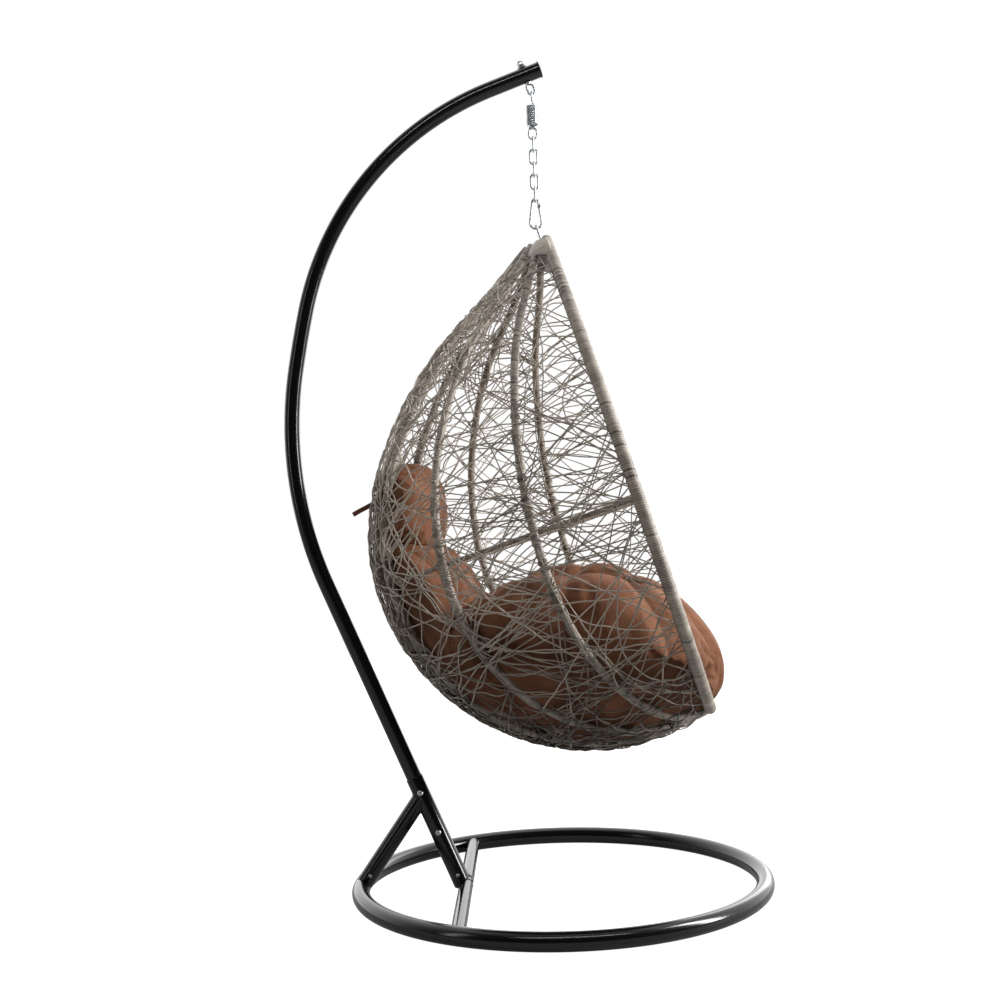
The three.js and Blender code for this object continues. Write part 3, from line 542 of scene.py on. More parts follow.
def even_run(points, step):
    """A polyline walked at an even pace of about one step."""
    points = np.array(points, float)
    marks = np.concatenate([[0], np.cumsum(np.linalg.norm(np.diff(points, axis=0), axis=1))])
    count = max(2, int(round(marks[-1] / step)) + 1)
    at = np.linspace(0, marks[-1], count)
    return np.stack([np.interp(at, marks, points[:, k]) for k in range(3)], axis=1)


def set_attribute(mesh, name, values):
    made = mesh.attributes.get(name) or mesh.attributes.new(name, "FLOAT", "POINT")
    made.data.foreach_set("value", np.asarray(values, np.float32))


def coordinates(mesh):
    co = np.zeros(len(mesh.vertices) * 3, np.float32)
    mesh.vertices.foreach_get("co", co)
    return co.reshape(-1, 3).astype(float)


def move_to(mesh, co):
    mesh.vertices.foreach_set("co", co.astype(np.float32).ravel())
    mesh.update()


# ---------------------------------------------------------------- stand
def build_ring():
    bm = bmesh.new()
    turn = (Matrix.Translation(RING_CENTRE + Vector((RING_R, 0, 0)))
            @ Matrix.Rotation(math.pi / 2, 4, "X"))
    made = bmesh.ops.create_circle(bm, cap_ends=False, segments=32, radius=RING_TUBE_R, matrix=turn)
    geom = made["verts"] + edges_of(made["verts"])
    bmesh.ops.spin(bm, geom=geom, cent=RING_CENTRE, axis=(0, 0, 1), dvec=(0, 0, 0),
                   angle=2 * math.pi, steps=180, use_merge=True, use_duplicate=False)
    set_piece("ring_tube", bm, "stand", "frame_paint", "base_ring")


def build_crossbar():
    bm = bmesh.new()
    low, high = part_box("crossbar")
    reach = math.sqrt(RING_R ** 2 - (CROSSBAR_X - RING_CENTRE.x) ** 2) - RING_TUBE_R * 0.5
    z = (low.z + high.z) / 2
    ends = [Vector((CROSSBAR_X, SIDE_Y + side * reach, z)) for side in (-1, 1)]
    add_rod(bm, ends[0], ends[1], CROSSBAR_R * MM)
    set_piece("crossbar_tube", bm, "stand", "frame_paint", "crossbar")


def add_arc(bm, loop, centre, sweep, steps):
    """Carries the open end of a tube round a bend in the stand's plane, and gives the new end."""
    made = bmesh.ops.spin(bm, geom=loop, cent=centre, axis=(0, -1, 0), dvec=(0, 0, 0), angle=sweep,
                          steps=steps, use_merge=False, use_duplicate=False)
    return made["geom_last"]


def add_straight(bm, loop, move):
    """Carries the open end of a tube straight on."""
    made = bmesh.ops.extrude_edge_only(bm,
                                       edges=[g for g in loop if isinstance(g, bmesh.types.BMEdge)])
    verts = [g for g in made["geom"] if isinstance(g, bmesh.types.BMVert)]
    bmesh.ops.translate(bm, verts=verts, vec=move)
    return verts + [e for e in edges_of(verts) if all(w in verts for w in e.verts)]


def build_arm():
    """The one-piece arm: a straight tip, three bends, and a straight end inside the leg's
    sleeve."""
    bm = bmesh.new()
    places = arm_places()
    x, z, slope = places[0]
    heading = Vector((-math.cos(slope), 0, -math.sin(slope)))
    made = bmesh.ops.create_circle(bm, cap_ends=False, segments=40, radius=ARM_R * MM,
                                   matrix=Matrix.Translation(on_stand(x, z)) @ aim(heading))
    loop = made["verts"] + edges_of(made["verts"])
    loop = add_straight(bm, loop, heading * ARM_TIP_STRAIGHT * MM)
    for (x, z, slope), (radius, sweep) in zip(places[1:], ARM_BENDS):
        centre = on_stand(x + radius * math.sin(slope), z - radius * math.cos(slope))
        loop = add_arc(bm, loop, centre, math.radians(sweep), max(4, int(sweep * 1.4)))
    x, z, slope = places[-1]
    run = (z - ARM_END_Z) / math.sin(slope) * MM
    add_straight(bm, loop, Vector((-math.cos(slope), 0, -math.sin(slope))) * run)
    fill_holes(bm)
    set_piece("arm_tube", bm, "stand", "frame_paint", "arm")


# The leg's weld is narrower across the crossbar than the sleeve is, so it stays on the bar
LEG_WELD_SHARE, LEG_WELD_SINK, LEG_WELD_R, STRUT_WELD_R = 0.72, 0.98, 2.2, 2.0


def full_turn(steps=64):
    return [2 * math.pi * i / steps for i in range(steps)]


def build_leg():
    """The sleeve round the arm's lower end, with a rolled top edge, and its weld on the
    crossbar."""
    bm = bmesh.new()
    top = on_stand(on_leg(LEG_TOP_Z), LEG_TOP_Z)
    foot = on_stand(on_leg(LEG_FOOT_Z - 12), LEG_FOOT_Z - 12)
    add_rod(bm, foot, top, LEG_R * MM, round_end=1.2 * MM)
    cut_away(bm, (0, 0, LEG_FOOT_Z * MM), (0, 0, -1))
    set_piece("leg_sleeve", bm, "stand", "frame_paint", "leg")
    # The weld is a low bead where the round sleeve meets the round crossbar.
    bead = []
    for a in full_turn():
        x = LEG_R * MM * math.sin(a) * LEG_WELD_SHARE
        rise = math.sqrt(max(0.0, (CROSSBAR_R * MM) ** 2 - x ** 2)) * LEG_WELD_SINK
        bead.append((CROSSBAR_X + x, SIDE_Y + LEG_R * MM * math.cos(a), RING_TUBE_R + rise))
    bm = bmesh.new()
    add_wire(bm, bead, LEG_WELD_R, 10, closed=True)
    set_piece("leg_weld", bm, "stand", "frame_paint")


def build_strut():
    """The rear strut, with a weld bead round its head on the leg."""
    bm = bmesh.new()
    head, foot = on_stand(*STRUT_TOP), on_stand(-RING_R / MM, RING_TUBE_R / MM)
    add_rod(bm, head, foot, STRUT_R * MM)
    set_piece("strut_tube", bm, "stand", "frame_paint", "rear_strut")
    _, _, slope = arm_places()[-1]
    leg_way = Vector((-math.cos(slope), 0, -math.sin(slope)))
    strut_way = (foot - head).normalized()
    out = (strut_way - leg_way * strut_way.dot(leg_way)).normalized()
    leg_point = on_stand(on_leg(STRUT_TOP[1]), STRUT_TOP[1])
    bead = []
    for a in full_turn():
        side = STRUT_R * math.cos(a)
        rise = math.sqrt(max(1.0, LEG_R ** 2 - side ** 2))
        # Walk along the strut until its surface line leaves the leg's surface.
        across = strut_way.cross(Vector((0, 1, 0))).normalized() * STRUT_R * math.sin(a) * MM
        base = head + across
        reach = (rise * MM - (base - leg_point).dot(out)) / strut_way.dot(out)
        bead.append(tuple(base + strut_way * reach + Vector((0, side * MM, 0))))
    bm = bmesh.new()
    add_wire(bm, bead, STRUT_WELD_R, 10, closed=True)
    set_piece("strut_weld", bm, "stand", "frame_paint")


def build_end_cap():
    """The push-in cap on the arm's tip: a flange with a rounded edge and a shallow dished face."""
    way = Vector((math.cos(ARM_TIP_SLOPE), 0, math.sin(ARM_TIP_SLOPE)))
    place = Matrix.Translation(on_stand(*ARM_TIP)) @ aim(way)
    bm = bmesh.new()
    add_turned(bm, [(0, 2.2), (9, 2.3), (15, 2.9), (18.4, 3.0), (19.9, 2.5), (20.6, 1.4),
                    (20.5, 0.2), (16.4, 0.1), (16.0, -16), (0, -16)], place)
    set_piece("tip_cap", bm, "stand", "black_plastic", "arm_end_cap")


# ---------------------------------------------------------------- fasteners
def side_place(x, z, seat, side):
    """A frame on a tube's flank: its z axis points out of the chair's right (-1) or left (+1)
    side."""
    return Matrix.Translation(on_stand(x, z, side * seat)) @ aim((0, side, 0))


def add_button_head(bm, place, radius, height, socket):
    """A domed screw head with a hexagonal socket."""
    dome = [(radius * math.cos(a), height * math.sin(a))
            for a in np.linspace(0, math.pi / 2, 9)[:-2]]
    add_turned(bm, [(0, -0.3), (radius, -0.3)] + dome + [(0, dome[-1][1])], place, 36)
    cup = bmesh.ops.create_cone(bm, cap_ends=True, cap_tris=False, segments=6, radius1=socket * MM,
                                radius2=socket * MM, depth=0.2 * MM,
                                matrix=place
                                @ Matrix.Translation((0, 0, (dome[-1][1] + 0.02) * MM)))
    face = max((f for f in {f for v in cup["verts"] for f in v.link_faces} if len(f.verts) == 6),
               key=lambda f: (place.inverted() @ f.calc_center_median()).z)
    bmesh.ops.inset_individual(bm, faces=[face], thickness=0.12 * MM)
    down = place.to_3x3() @ Vector((0, 0, -min(height * 0.6, 2.2) * MM))
    bmesh.ops.translate(bm, verts=face.verts, vec=down)


def build_fasteners():
    for name, z in BOLT_HEIGHTS.items():
        bm = bmesh.new()
        add_button_head(bm, side_place(on_leg(z), z, LEG_R + 0.3, -1), 7.2, 4.9, 2.6)
        add_rod(bm, on_stand(on_leg(z), z, -LEG_R), on_stand(on_leg(z), z, LEG_R + 9), 4 * MM, 20)
        set_piece(f"bolt_{name}", bm, "stand", "zinc_steel", f"leg_bolt_{name}", sharp=30)
        bm = bmesh.new()
        place = side_place(on_leg(z), z, LEG_R + 0.3, 1)
        add_hexagon(bm, 7.5, 0, 7, place)
        add_turned(bm, [(0, 6.6), (6.3, 6.6), (6.0, 9.2), (4.6, 11.4), (2.4, 12.7), (0, 13)],
                   place, 32)
        set_piece(f"cap_nut_{name}", bm, "stand", "zinc_steel", f"leg_nut_{name}", sharp=30)
    for name, x, z, seat in (("foot", on_leg(FOOT_SCREW_Z), FOOT_SCREW_Z, LEG_R),
                             ("strut", *STRUT_SCREW, STRUT_R)):
        bm = bmesh.new()
        add_button_head(bm, side_place(x, z, seat + 0.3, -1), 4.3, 2.3, 1.4)
        add_rod(bm, on_stand(x, z, -seat), on_stand(x, z, -seat + 6), 2 * MM, 16)
        set_piece(f"{name}_screw_head", bm, "stand", "zinc_steel", f"{name}_screw", sharp=30)


def teardrop(top_r, bottom_r, length, shares):
    """Points (across, down) of a loop of two arcs and two straights, by share of its length, in
    millimetres."""
    apart = length - top_r - bottom_r
    lean = math.asin((bottom_r - top_r) / apart)
    arcs = []
    for centre, r, a0, a1 in ((bottom_r - length, bottom_r, math.pi - lean, 2 * math.pi + lean),
                              (-top_r, top_r, lean, math.pi - lean)):
        a = np.linspace(a0, a1, 25)
        arcs.append(np.stack([r * np.cos(a), centre + r * np.sin(a)], axis=1))
    whole = np.concatenate([*arcs, arcs[0][:1]])
    marks = np.concatenate([[0], np.cumsum(np.linalg.norm(np.diff(whole, axis=0), axis=1))])
    at = (np.asarray(shares) % 1.0) * marks[-1]
    return np.stack([np.interp(at, marks, whole[:, k]) for k in (0, 1)], axis=1)


def hung_run(loop, top_z, plane="xz"):
    """A loop's points hung under a height on the plumb line, in metres."""
    u, z = loop[:, 0] * MM, loop[:, 1] * MM
    nothing = np.zeros_like(u)
    x, y = (u, nothing) if plane == "xz" else (nothing, u)
    return np.stack([x + PLUMB.x, y + PLUMB.y, z + top_z], axis=1)


def build_eye_bolt():
    axis = Vector((-math.sin(ARM_TIP_SLOPE), 0, math.cos(ARM_TIP_SLOPE)))
    place = Matrix.Translation(on_stand(*across_arm(0))) @ aim(axis)
    seat = ARM_R + 0.8
    bm = bmesh.new()
    loop_top = seat + EYE_WIRE_R + 1
    length = EYE_DROP - loop_top
    loop = teardrop(EYE_HALF_WIDTH, EYE_HALF_WIDTH, length, np.linspace(0.0, 1.0, 49)[:-1])
    u = Vector((math.cos(ARM_TIP_SLOPE), 0, math.sin(ARM_TIP_SLOPE)))
    origin = on_stand(*across_arm(0))
    run = [origin + u * (p[0] * MM) + axis * ((p[1] - loop_top) * MM) for p in loop]
    add_wire(bm, run, EYE_WIRE_R, 14, closed=True)
    add_rod(bm, origin - axis * loop_top * MM, origin + axis * (seat + 11) * MM, 5 * MM, 32,
            round_end=0.6 * MM)
    # Thread turns show between the nut and the tip of the shank.
    for i in range(3):
        at = origin + axis * (seat + 9.2 + i * 0.8) * MM
        add_rod(bm, at, at + axis * 0.35 * MM, 5.25 * MM, 32)
    add_turned(bm, [(0, -seat), (9, -seat), (9, -seat - 1.3), (7.8, -seat - 2), (0, -seat - 2)],
               place, 36)
    set_piece("eye_bolt_forged", bm, "stand", "zinc_steel", "eye_bolt", sharp=35)
    bm = bmesh.new()
    add_turned(bm, [(5.3, seat + 0.2), (11.7, seat + 0.2), (12, seat + 0.6), (11.6, seat + 1.6),
                    (5.3, seat + 1.6), (5.3, seat + 0.2)], place, 40)
    set_piece("eye_bolt_washer_plate", bm, "stand", "zinc_steel", "eye_bolt_washer", sharp=35)
    bm = bmesh.new()
    add_hexagon(bm, 11, seat + 1.9, seat + 10.6, place)
    add_turned(bm, [(0, seat + 10.2), (9.2, seat + 10.2), (8.8, seat + 13.6), (6.6, seat + 16.6),
                    (3.4, seat + 18.4), (0, seat + 19)], place, 36)
    set_piece("eye_bolt_cap_nut", bm, "stand", "zinc_steel", "eye_bolt_nut", sharp=30)


def spring_run(top_z):
    """The spring's wire: its top loop, the way into the coil, and the coil down to its foot."""
    points = []
    for a in np.radians(np.linspace(-50, 270, 33)):
        points.append((0, SPRING_LOOP_R * math.cos(a),
                       -SPRING_LOOP_R + SPRING_LOOP_R * math.sin(a)))
    points += [(0.6, -1.6, -22.2), (2, -3, -SPRING_LOOP + 3.5)]
    per_turn = 24
    for i in range(SPRING_TURNS * per_turn + 1):
        a = i / per_turn * 2 * math.pi - math.pi / 2 + 0.6
        grow = min(1, 0.35 + i / per_turn)
        drop = (SPRING_COIL - 2 * SPRING_WIRE_R) * i / (SPRING_TURNS * per_turn)
        points.append((SPRING_COIL_R * grow * math.cos(a), SPRING_COIL_R * grow * math.sin(a),
                       -SPRING_LOOP - SPRING_WIRE_R - drop))
    points = np.array(points) * MM
    for _ in range(3):
        points[1:-1] = points[1:-1] * 0.6 + (points[:-2] + points[2:]) * 0.2
    spread = np.hypot(points[-per_turn * (SPRING_TURNS - 1):, 0],
                      points[-per_turn * (SPRING_TURNS - 1):, 1])
    points[:, :2] *= SPRING_COIL_R * MM / spread.mean()
    return points + np.array([PLUMB.x, PLUMB.y, top_z])


def build_spring():
    top_z = top_wire("spring", SPRING_WIRE_R)
    run = spring_run(top_z)
    bm = bmesh.new()
    add_wire(bm, run, SPRING_WIRE_R, 12)
    coil = set_piece("coil_spring", bm, None, "zinc_steel", "spring", sharp=60)
    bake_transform(coil)
    hook_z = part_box("spring_hook")[1].z
    foot_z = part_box("spring_hook")[0].z + SPRING_WIRE_R * MM / math.cos(math.pi / 6)
    ring_z = foot_z + SPRING_HOOK_LENGTH * MM
    bm = bmesh.new()
    loop = teardrop(SPRING_LOOP_R, SPRING_LOOP_R, SPRING_HOOK_LENGTH, np.linspace(0, 1, 49)[:-1])
    add_wire(bm, hung_run(loop, ring_z), SPRING_WIRE_R, 12, closed=True)
    place = Matrix.Translation((PLUMB.x, PLUMB.y, ring_z))
    low = (hook_z - ring_z) / MM
    add_turned(bm, [(0, low), (6.2, low), (8.6, low - 0.5), (10.6, low - 1.8), (10.3, low - 3.0),
                    (6.6, low - 4.0), (0, low - 4.2)], place, 36)
    set_piece("spring_end_loop", bm, "spring_end", "zinc_steel", "spring_hook", sharp=50)


def build_chain():
    shares = np.linspace(0, 1, 57)[:-1]
    for i in range(1, 6):
        node = f"chain_link_{i}"
        plane = "yz" if i % 2 else "xz"
        loop = teardrop(LINK_HALF_WIDTH, LINK_HALF_WIDTH, LINK_LENGTH, shares)
        top = top_wire(node, LINK_WIRE_R)
        run = hung_run(loop, top, plane)
        bm = bmesh.new()
        add_wire(bm, run, LINK_WIRE_R, 14, closed=True)
        # The link is bent from wire and butt-welded half way down one side.
        weld = run[np.argmin(np.abs(loop[:, 1] + LINK_LENGTH / 2) + (loop[:, 0] > 0) * 9)]
        bmesh.ops.create_uvsphere(bm, u_segments=16, v_segments=10, radius=LINK_WIRE_R * 1.14 * MM,
                                  matrix=Matrix.Translation(weld))
        set_piece(f"link_{i}_welded", bm, f"link_{i}", "zinc_steel", node, sharp=60)


def build_snap_hook():
    """The hook's bent wire with the cheeks that hold its gate, the gate, and the rivet the gate
    turns on."""
    top = top_wire("snap_hook", HOOK_WIRE_R)

    def stretch(start, end, count):
        return hung_run(
            teardrop(HOOK_TOP_R, HOOK_BOTTOM_R, HOOK_LENGTH, np.linspace(start, end, count)), top)

    def cross_pin(bm, at, half, ease):
        reach = Vector((0, half * MM, 0))
        add_rod(bm, at - reach, at + reach, 1.3 * MM, 20, round_end=ease * MM)

    pin = Vector(stretch(GATE_TO - 0.025, GATE_TO - 0.025, 1)[0])
    bm = bmesh.new()
    add_wire(bm, stretch(GATE_TO, GATE_FROM + 1, 80), HOOK_WIRE_R, 14)
    for side in (-1, 1):
        add_block(bm, pin + Vector((0, side * (HOOK_WIRE_R + 1.2), 1.5)) * MM, (7, 1.2, 9), 0.5)
    add_block(bm, pin + Vector((-0.6, 0, 6.5)) * MM, (7, 9.4, 3), 0.8)
    # The nose that the gate closes on is a short pin across the wire's end.
    cross_pin(bm, Vector(stretch(GATE_FROM, GATE_FROM, 1)[0]), 4.2, 0.3)
    set_piece("snap_hook_body", bm, "hook", "zinc_steel", "snap_hook", sharp=50)
    bm = bmesh.new()
    add_wire(bm, stretch(GATE_FROM + 0.006, GATE_TO - 0.013, 20), HOOK_WIRE_R - 0.1, 14)
    set_piece("gate_bar", bm, "gate", "zinc_steel", "snap_hook_gate", sharp=50)
    bm = bmesh.new()
    cross_pin(bm, pin, 5.4, 0.4)
    set_piece("gate_rivet", bm, "hook", "zinc_steel", "snap_hook_pin", sharp=50)


# ---------------------------------------------------------------- egg
def skin(t, phi):
    """The egg's skin on the rib centre lines, in egg frame millimetres: t from apex (0) over the
    widest place (1) to the tip (2), phi from the right rim (0) round the back to the left rim
    (pi)."""
    t, phi = np.broadcast_arrays(np.asarray(t, float), np.asarray(phi, float))
    back = np.sin(phi) ** 2
    high = np.clip(t, 1e-6, 1)
    low = np.clip(t - 1, 0, None)
    swell = np.sin(np.pi / 2 * high ** SHOULDER)
    drop = math.asin((RIM_TIP_W - BACK_DEEP_W) / BELLY_DROP)
    tip_d = BELLY_D + (BACK_DEPTH - BELLY_D) * math.cos(math.pi - drop)
    rim_w = (APEX_W + (RIM_WIDE_W - APEX_W) * high
             + (RIM_TIP_W - RIM_WIDE_W) * np.sin(np.pi / 2 * low))
    back_w = APEX_W + (BACK_DEEP_W - APEX_W) * high + BELLY_DROP * np.sin((math.pi - drop) * low)
    half = RIM_HALF_WIDTH * np.where(t > 1, np.cos(np.pi / 2 * low), swell)
    belly = BELLY_D + (BACK_DEPTH - BELLY_D) * np.cos((math.pi - drop) * low) - tip_d * low
    flat = 1 - TOP_FLAT * np.exp(-((high - TOP_FLAT_AT) / TOP_FLAT_SPAN) ** 2)
    depth = np.where(t > 1, belly, BACK_DEPTH * swell * flat)
    return np.stack([-depth * np.sin(phi), -half * np.cos(phi), -(rim_w + (back_w - rim_w) * back)],
                    axis=-1)


def skin_ways(t, phi):
    """The skin's point, its two tangents and its outward normal."""
    h = 1e-3
    along = (skin(t + h, phi) - skin(t - h, phi)) / (2 * h)
    round_it = (skin(t, phi + h) - skin(t, phi - h)) / (2 * h)
    normal = -np.cross(along, round_it)
    normal /= np.maximum(np.linalg.norm(normal, axis=-1, keepdims=True), 1e-9)
    return skin(t, phi), along, round_it, normal


def rim_run():
    """The rim's centre line from the apex down the right side and up the left."""
    t = FRAME_START + (2 - FRAME_START) * (1 - (1 - np.linspace(0, 1, 160)) ** 1.4)
    right = skin(t, 0.0)
    left = skin(t[::-1][1:], math.pi)
    run = np.concatenate([right, left])
    run[:, 0] += RIM_BOW * np.sin(np.clip((-run[:, 2] - APEX_W) / (RIM_TIP_W - APEX_W), 0, 1)
                                  * math.pi)
    return run


def rib_run(degrees):
    return skin(np.linspace(FRAME_START, 1.985, 160), math.radians(degrees))


def hoop_run(inset):
    phi = np.linspace(0, math.pi, 100)
    deepest = RIM_WIDE_W + (BACK_DEEP_W - RIM_WIDE_W) * np.sin(phi) ** 2
    t = (HOOP_W - APEX_W) / (deepest - APEX_W)
    p = skin(t, phi)
    a = np.abs(skin(t, 0.0)[:, 1])
    b = np.abs(skin(t, math.pi / 2)[:, 0])
    normal = np.stack([p[:, 0] / b ** 2, p[:, 1] / a ** 2, np.zeros_like(t)], axis=1)
    normal /= np.linalg.norm(normal, axis=1, keepdims=True)
    return p - normal * inset


# The winding of a flat strand, with depths in millimetres and the rest in turns
WRAP_SAMPLES = 4
WRAP_GROOVE_DEPTH, WRAP_GROOVE_SHARPNESS, WRAP_UNEVENNESS = 0.9, 4.2, 0.22
WRAP_GAP_CHANCE, WRAP_GAP_SHARPNESS, WRAP_GAP_DEPTH = 0.07, 2.6, 1.6


def ease(share):
    """A share from 0 to 1 with soft ends."""
    return share * share * (3 - 2 * share)


def meeting(turn, sharpness):
    """How near a place is to where two turns meet, from 0 to 1."""
    phase = turn % 1.0
    return np.clip(1 - np.minimum(phase, 1 - phase) * sharpness, 0, 1)


def wrapped_tube(name, run, radius, pitch, sides, node, seed, swell=0.0):
    """A tube wound with a flat strand: one low helical ridge a turn, and here and there a gap
    between two turns."""
    rng = np.random.default_rng(seed)
    points = egg_points(even_run(run, pitch / WRAP_SAMPLES))
    mesh = tube_mesh([points], radius, sides)
    rings = len(points)
    co = coordinates(mesh).reshape(rings, sides, 3)
    s = np.arange(rings)[:, None] / WRAP_SAMPLES + np.arange(sides)[None, :] / sides
    turn = np.floor(s).astype(int)
    turns = rings // WRAP_SAMPLES + 2
    knots = np.arange(0, rings, 7)
    slack = np.interp(np.arange(rings) / WRAP_SAMPLES, knots / 3, rng.random(len(knots)))
    groove = meeting(s, WRAP_GROOVE_SHARPNESS)
    lift = rng.normal(0, WRAP_UNEVENNESS, turns)[turn]
    gap = (rng.random(turns) < WRAP_GAP_CHANCE)[turn] * np.clip(
        1 - np.abs(s % 1.0 - 0.5) * WRAP_GAP_SHARPNESS, 0, 1)
    rise = (-WRAP_GROOVE_DEPTH * groove + lift * (1 - groove) + swell * (slack[:, None] - 0.5)
            - WRAP_GAP_DEPTH * gap)
    way = co - points[:, None, :]
    way /= np.linalg.norm(way, axis=2, keepdims=True)
    move_to(mesh, (co + way * rise[..., None] * MM).reshape(-1, 3))
    shade = rng.random(turns)[turn] * 0.3
    # Painted shade in the lines and gaps between turns, with a random darker tone for each turn.
    set_attribute(mesh, "groove", np.clip(groove * 0.8 + gap + shade * (1 - groove), 0, 1).ravel())
    close_ends(mesh)
    dress(new_object(name, mesh), "egg", "rattan_wrap", node)


def build_egg_frame():
    wicker = bpy.context.scene.egg_chair_wicker
    rib_r = wicker.rib_thickness / MM / 2
    rim_r = wicker.rim_thickness / MM / 2
    pitch = wicker.wrap_width / MM
    wrapped_tube("rim_wrapped", rim_run(), rim_r, pitch, 20, "rim", 11, swell=0.5)
    for k, (node, degrees) in enumerate(RIB_ANGLES.items()):
        wrapped_tube(f"{node}_wrapped", rib_run(degrees), rib_r, pitch, 12, node, 20 + k, swell=0.6)
    wrapped_tube("hoop_wrapped", hoop_run(HOOP_INSET), HOOP_WRAP_R, pitch, 12, "hoop", 31,
                 swell=0.4)
    build_crown()
    build_hub()


def egg_place():
    """The egg frame as a matrix: metres in, row frame metres out."""
    return (Matrix.Translation(PLUMB + Vector((0, 0, EGG_Z * MM))) @ EGG_TURN
            @ Matrix.Rotation(-EGG_TILT, 4, "Y"))


def build_crown():
    """The wound cap that closes the egg's top, and the steel eye that stands in it."""
    outline = even_run([(r, 0, -w) for r, w in CROWN_PROFILE], CROWN_STEP)
    for _ in range(3):
        outline[1:-1] = (outline[:-2] + outline[1:-1] + outline[2:]) / 3
    groove = meeting(np.arange(len(outline)) * CROWN_STEP / CROWN_TURN, 4)
    outward = np.stack(
        [np.gradient(outline[:, 2]), np.zeros(len(outline)), -np.gradient(outline[:, 0])], axis=1)
    outward /= np.linalg.norm(outward, axis=1, keepdims=True)
    outline -= outward * groove[:, None] * CROWN_GROOVE_DEPTH
    outline[-1, 0] = 0
    bm = bmesh.new()
    add_turned(bm, [(0, outline[0, 2])] + [(max(p[0], 0), p[2]) for p in outline],
               Matrix.Identity(4), 96)
    widest = CROWN_PROFILE[1][0]
    for vert in bm.verts:
        share = vert.co.x / (widest * MM)
        vert.co.x = (CROWN_FRONT * share ** 0.6 if share > 0
                     else CROWN_DEPTH_SHARE * widest * share) * MM
    (x0, w0), (x1, w1) = CROWN_FOOT
    cut_away(bm, (x0 * MM, 0, -w0 * MM), (w0 - w1, 0, x0 - x1))
    bmesh.ops.transform(bm, matrix=egg_place(), verts=bm.verts)
    crown = set_piece("crown_wound", bm, "egg", "rattan_wrap", "crown", sharp=60)
    # The groove attribute paints shade on the crown.
    set_attribute(crown.data, "groove", painted_shade_on_crown(egg_local(coordinates(crown.data))))
    r = EGG_EYE_HALF_WIDTH
    back = EGG_EYE_TOP_W * math.tan(EGG_TILT)
    arch = [(-back, r * math.cos(a), -EGG_EYE_TOP_W - r + r * math.sin(a))
            for a in np.linspace(math.pi, 0, 19)]
    run = even_run([(-back, -r, -EGG_EYE_FOOT_W), *arch, (-back, r, -EGG_EYE_FOOT_W)], 1.5)
    bm = bmesh.new()
    add_wire(bm, egg_points(run), EGG_EYE_R, 14)
    set_piece("crown_eye", bm, "egg", "zinc_steel", "egg_eye", sharp=60)


def painted_shade_on_crown(local):
    """Painted shade in the lines between the crown's turns, by height, and along its lower edge."""
    (x0, w0), (x1, w1) = CROWN_FOOT
    above = local[:, 2] + w0 + (local[:, 0] - x0) * (w1 - w0) / (x1 - x0)
    return np.clip(meeting(local[:, 2] / CROWN_TURN, 5) * 0.4
                   + np.clip(1 - above / CROWN_PAINTED_SHADE_EDGE, 0, 1), 0, 1)


def egg_local(co):
    """Row frame metres back to egg frame millimetres."""
    inverse = np.array(egg_place().inverted())
    return (co @ inverse[:3, :3].T + inverse[:3, 3]) / MM


def build_hub():
    """The wound knot at the tip, where the ribs run together."""
    tip = skin(2.0, 0.0)
    before = skin(1.98, math.pi / 2)
    way = tip - before
    lean = math.atan2(way[2], way[0])
    bm = bmesh.new()
    add_turned(bm, [(0, -9), (46, -9), (55, -6), (59, 0), (55, 6), (46, 9), (0, 9)],
               Matrix.Identity(4), 48)
    place = egg_place() @ Matrix.Translation(Vector(tip) * MM) @ Matrix.Rotation(-lean, 4, "Y")
    bmesh.ops.transform(bm, matrix=place, verts=bm.verts)
    cut_away(bm, egg_place().translation, egg_place().to_3x3() @ Vector((1, 0, 0)))
    set_piece("tip_knot", bm, "egg", "rattan_wrap", "rib_hub", sharp=60)


# ---------------------------------------------------------------- weave
STEP = 12.0                              # between a strand's points, in millimetres
STRAND_SIDES = 6
STRAND_T_MIN, STRAND_T_MAX = 0.05, 1.975
LOOP_WANDER, DRIFT, DRIFT_STEPS = 4.5, 1.2, 6
TIED_STEPS_MIN, STRAND_POINTS_MIN = 9, 8
# How a strand lies, in millimetres: out from the skin, in waves, dipping inside a rib, and in to
# the rim and its ends
STRAND_OUT, STRAND_OUT_SPREAD, WAVE_HEIGHT, WAVE_LENGTHS = 13.0, 1.5, 2.6, (60, 95)
DIP_CHANCE, DIP_FLAT, DIP_FADE, DIP_DEPTH = 0.3, 6, 34, 12.0
RIM_FADE, END_FADE = 55, 40
COIL_TURNS, COIL_STEPS = (1.6, 4.2), 10
# Strands lower than this height are painted darker as shade, fully so at this depth below it.
WEAVE_PAINTED_SHADE_Z, WEAVE_PAINTED_SHADE_DEPTH = 0.62, 0.2     # metres
RIB_PHIS = np.radians(sorted(RIB_ANGLES.values()))


def unit(rows):
    return rows / np.maximum(np.linalg.norm(rows, axis=-1, keepdims=True), 1e-9)


def rib_frame(t, phi):
    """Points on the skin with unit vectors along a rib there, across it and outwards."""
    point, along, _, normal = skin_ways(t, phi)
    along = unit(along)
    return point, along, np.cross(normal, along), normal


def strand_starts(rng, count, t_span, phi_span):
    """Random places on the skin, evenly by its area."""
    starts = []
    while len(starts) < count:
        t = rng.uniform(*t_span, 400)
        phi = rng.uniform(*phi_span, 400)
        phi = np.where(rng.random(400) < 0.5, phi, math.pi - phi)
        _, along, round_it, _ = skin_ways(t, phi)
        area = np.linalg.norm(np.cross(along, round_it), axis=1)
        keep = rng.random(400) < area / area.max()
        starts += list(zip(t[keep], phi[keep]))
    return np.array(starts[:count])


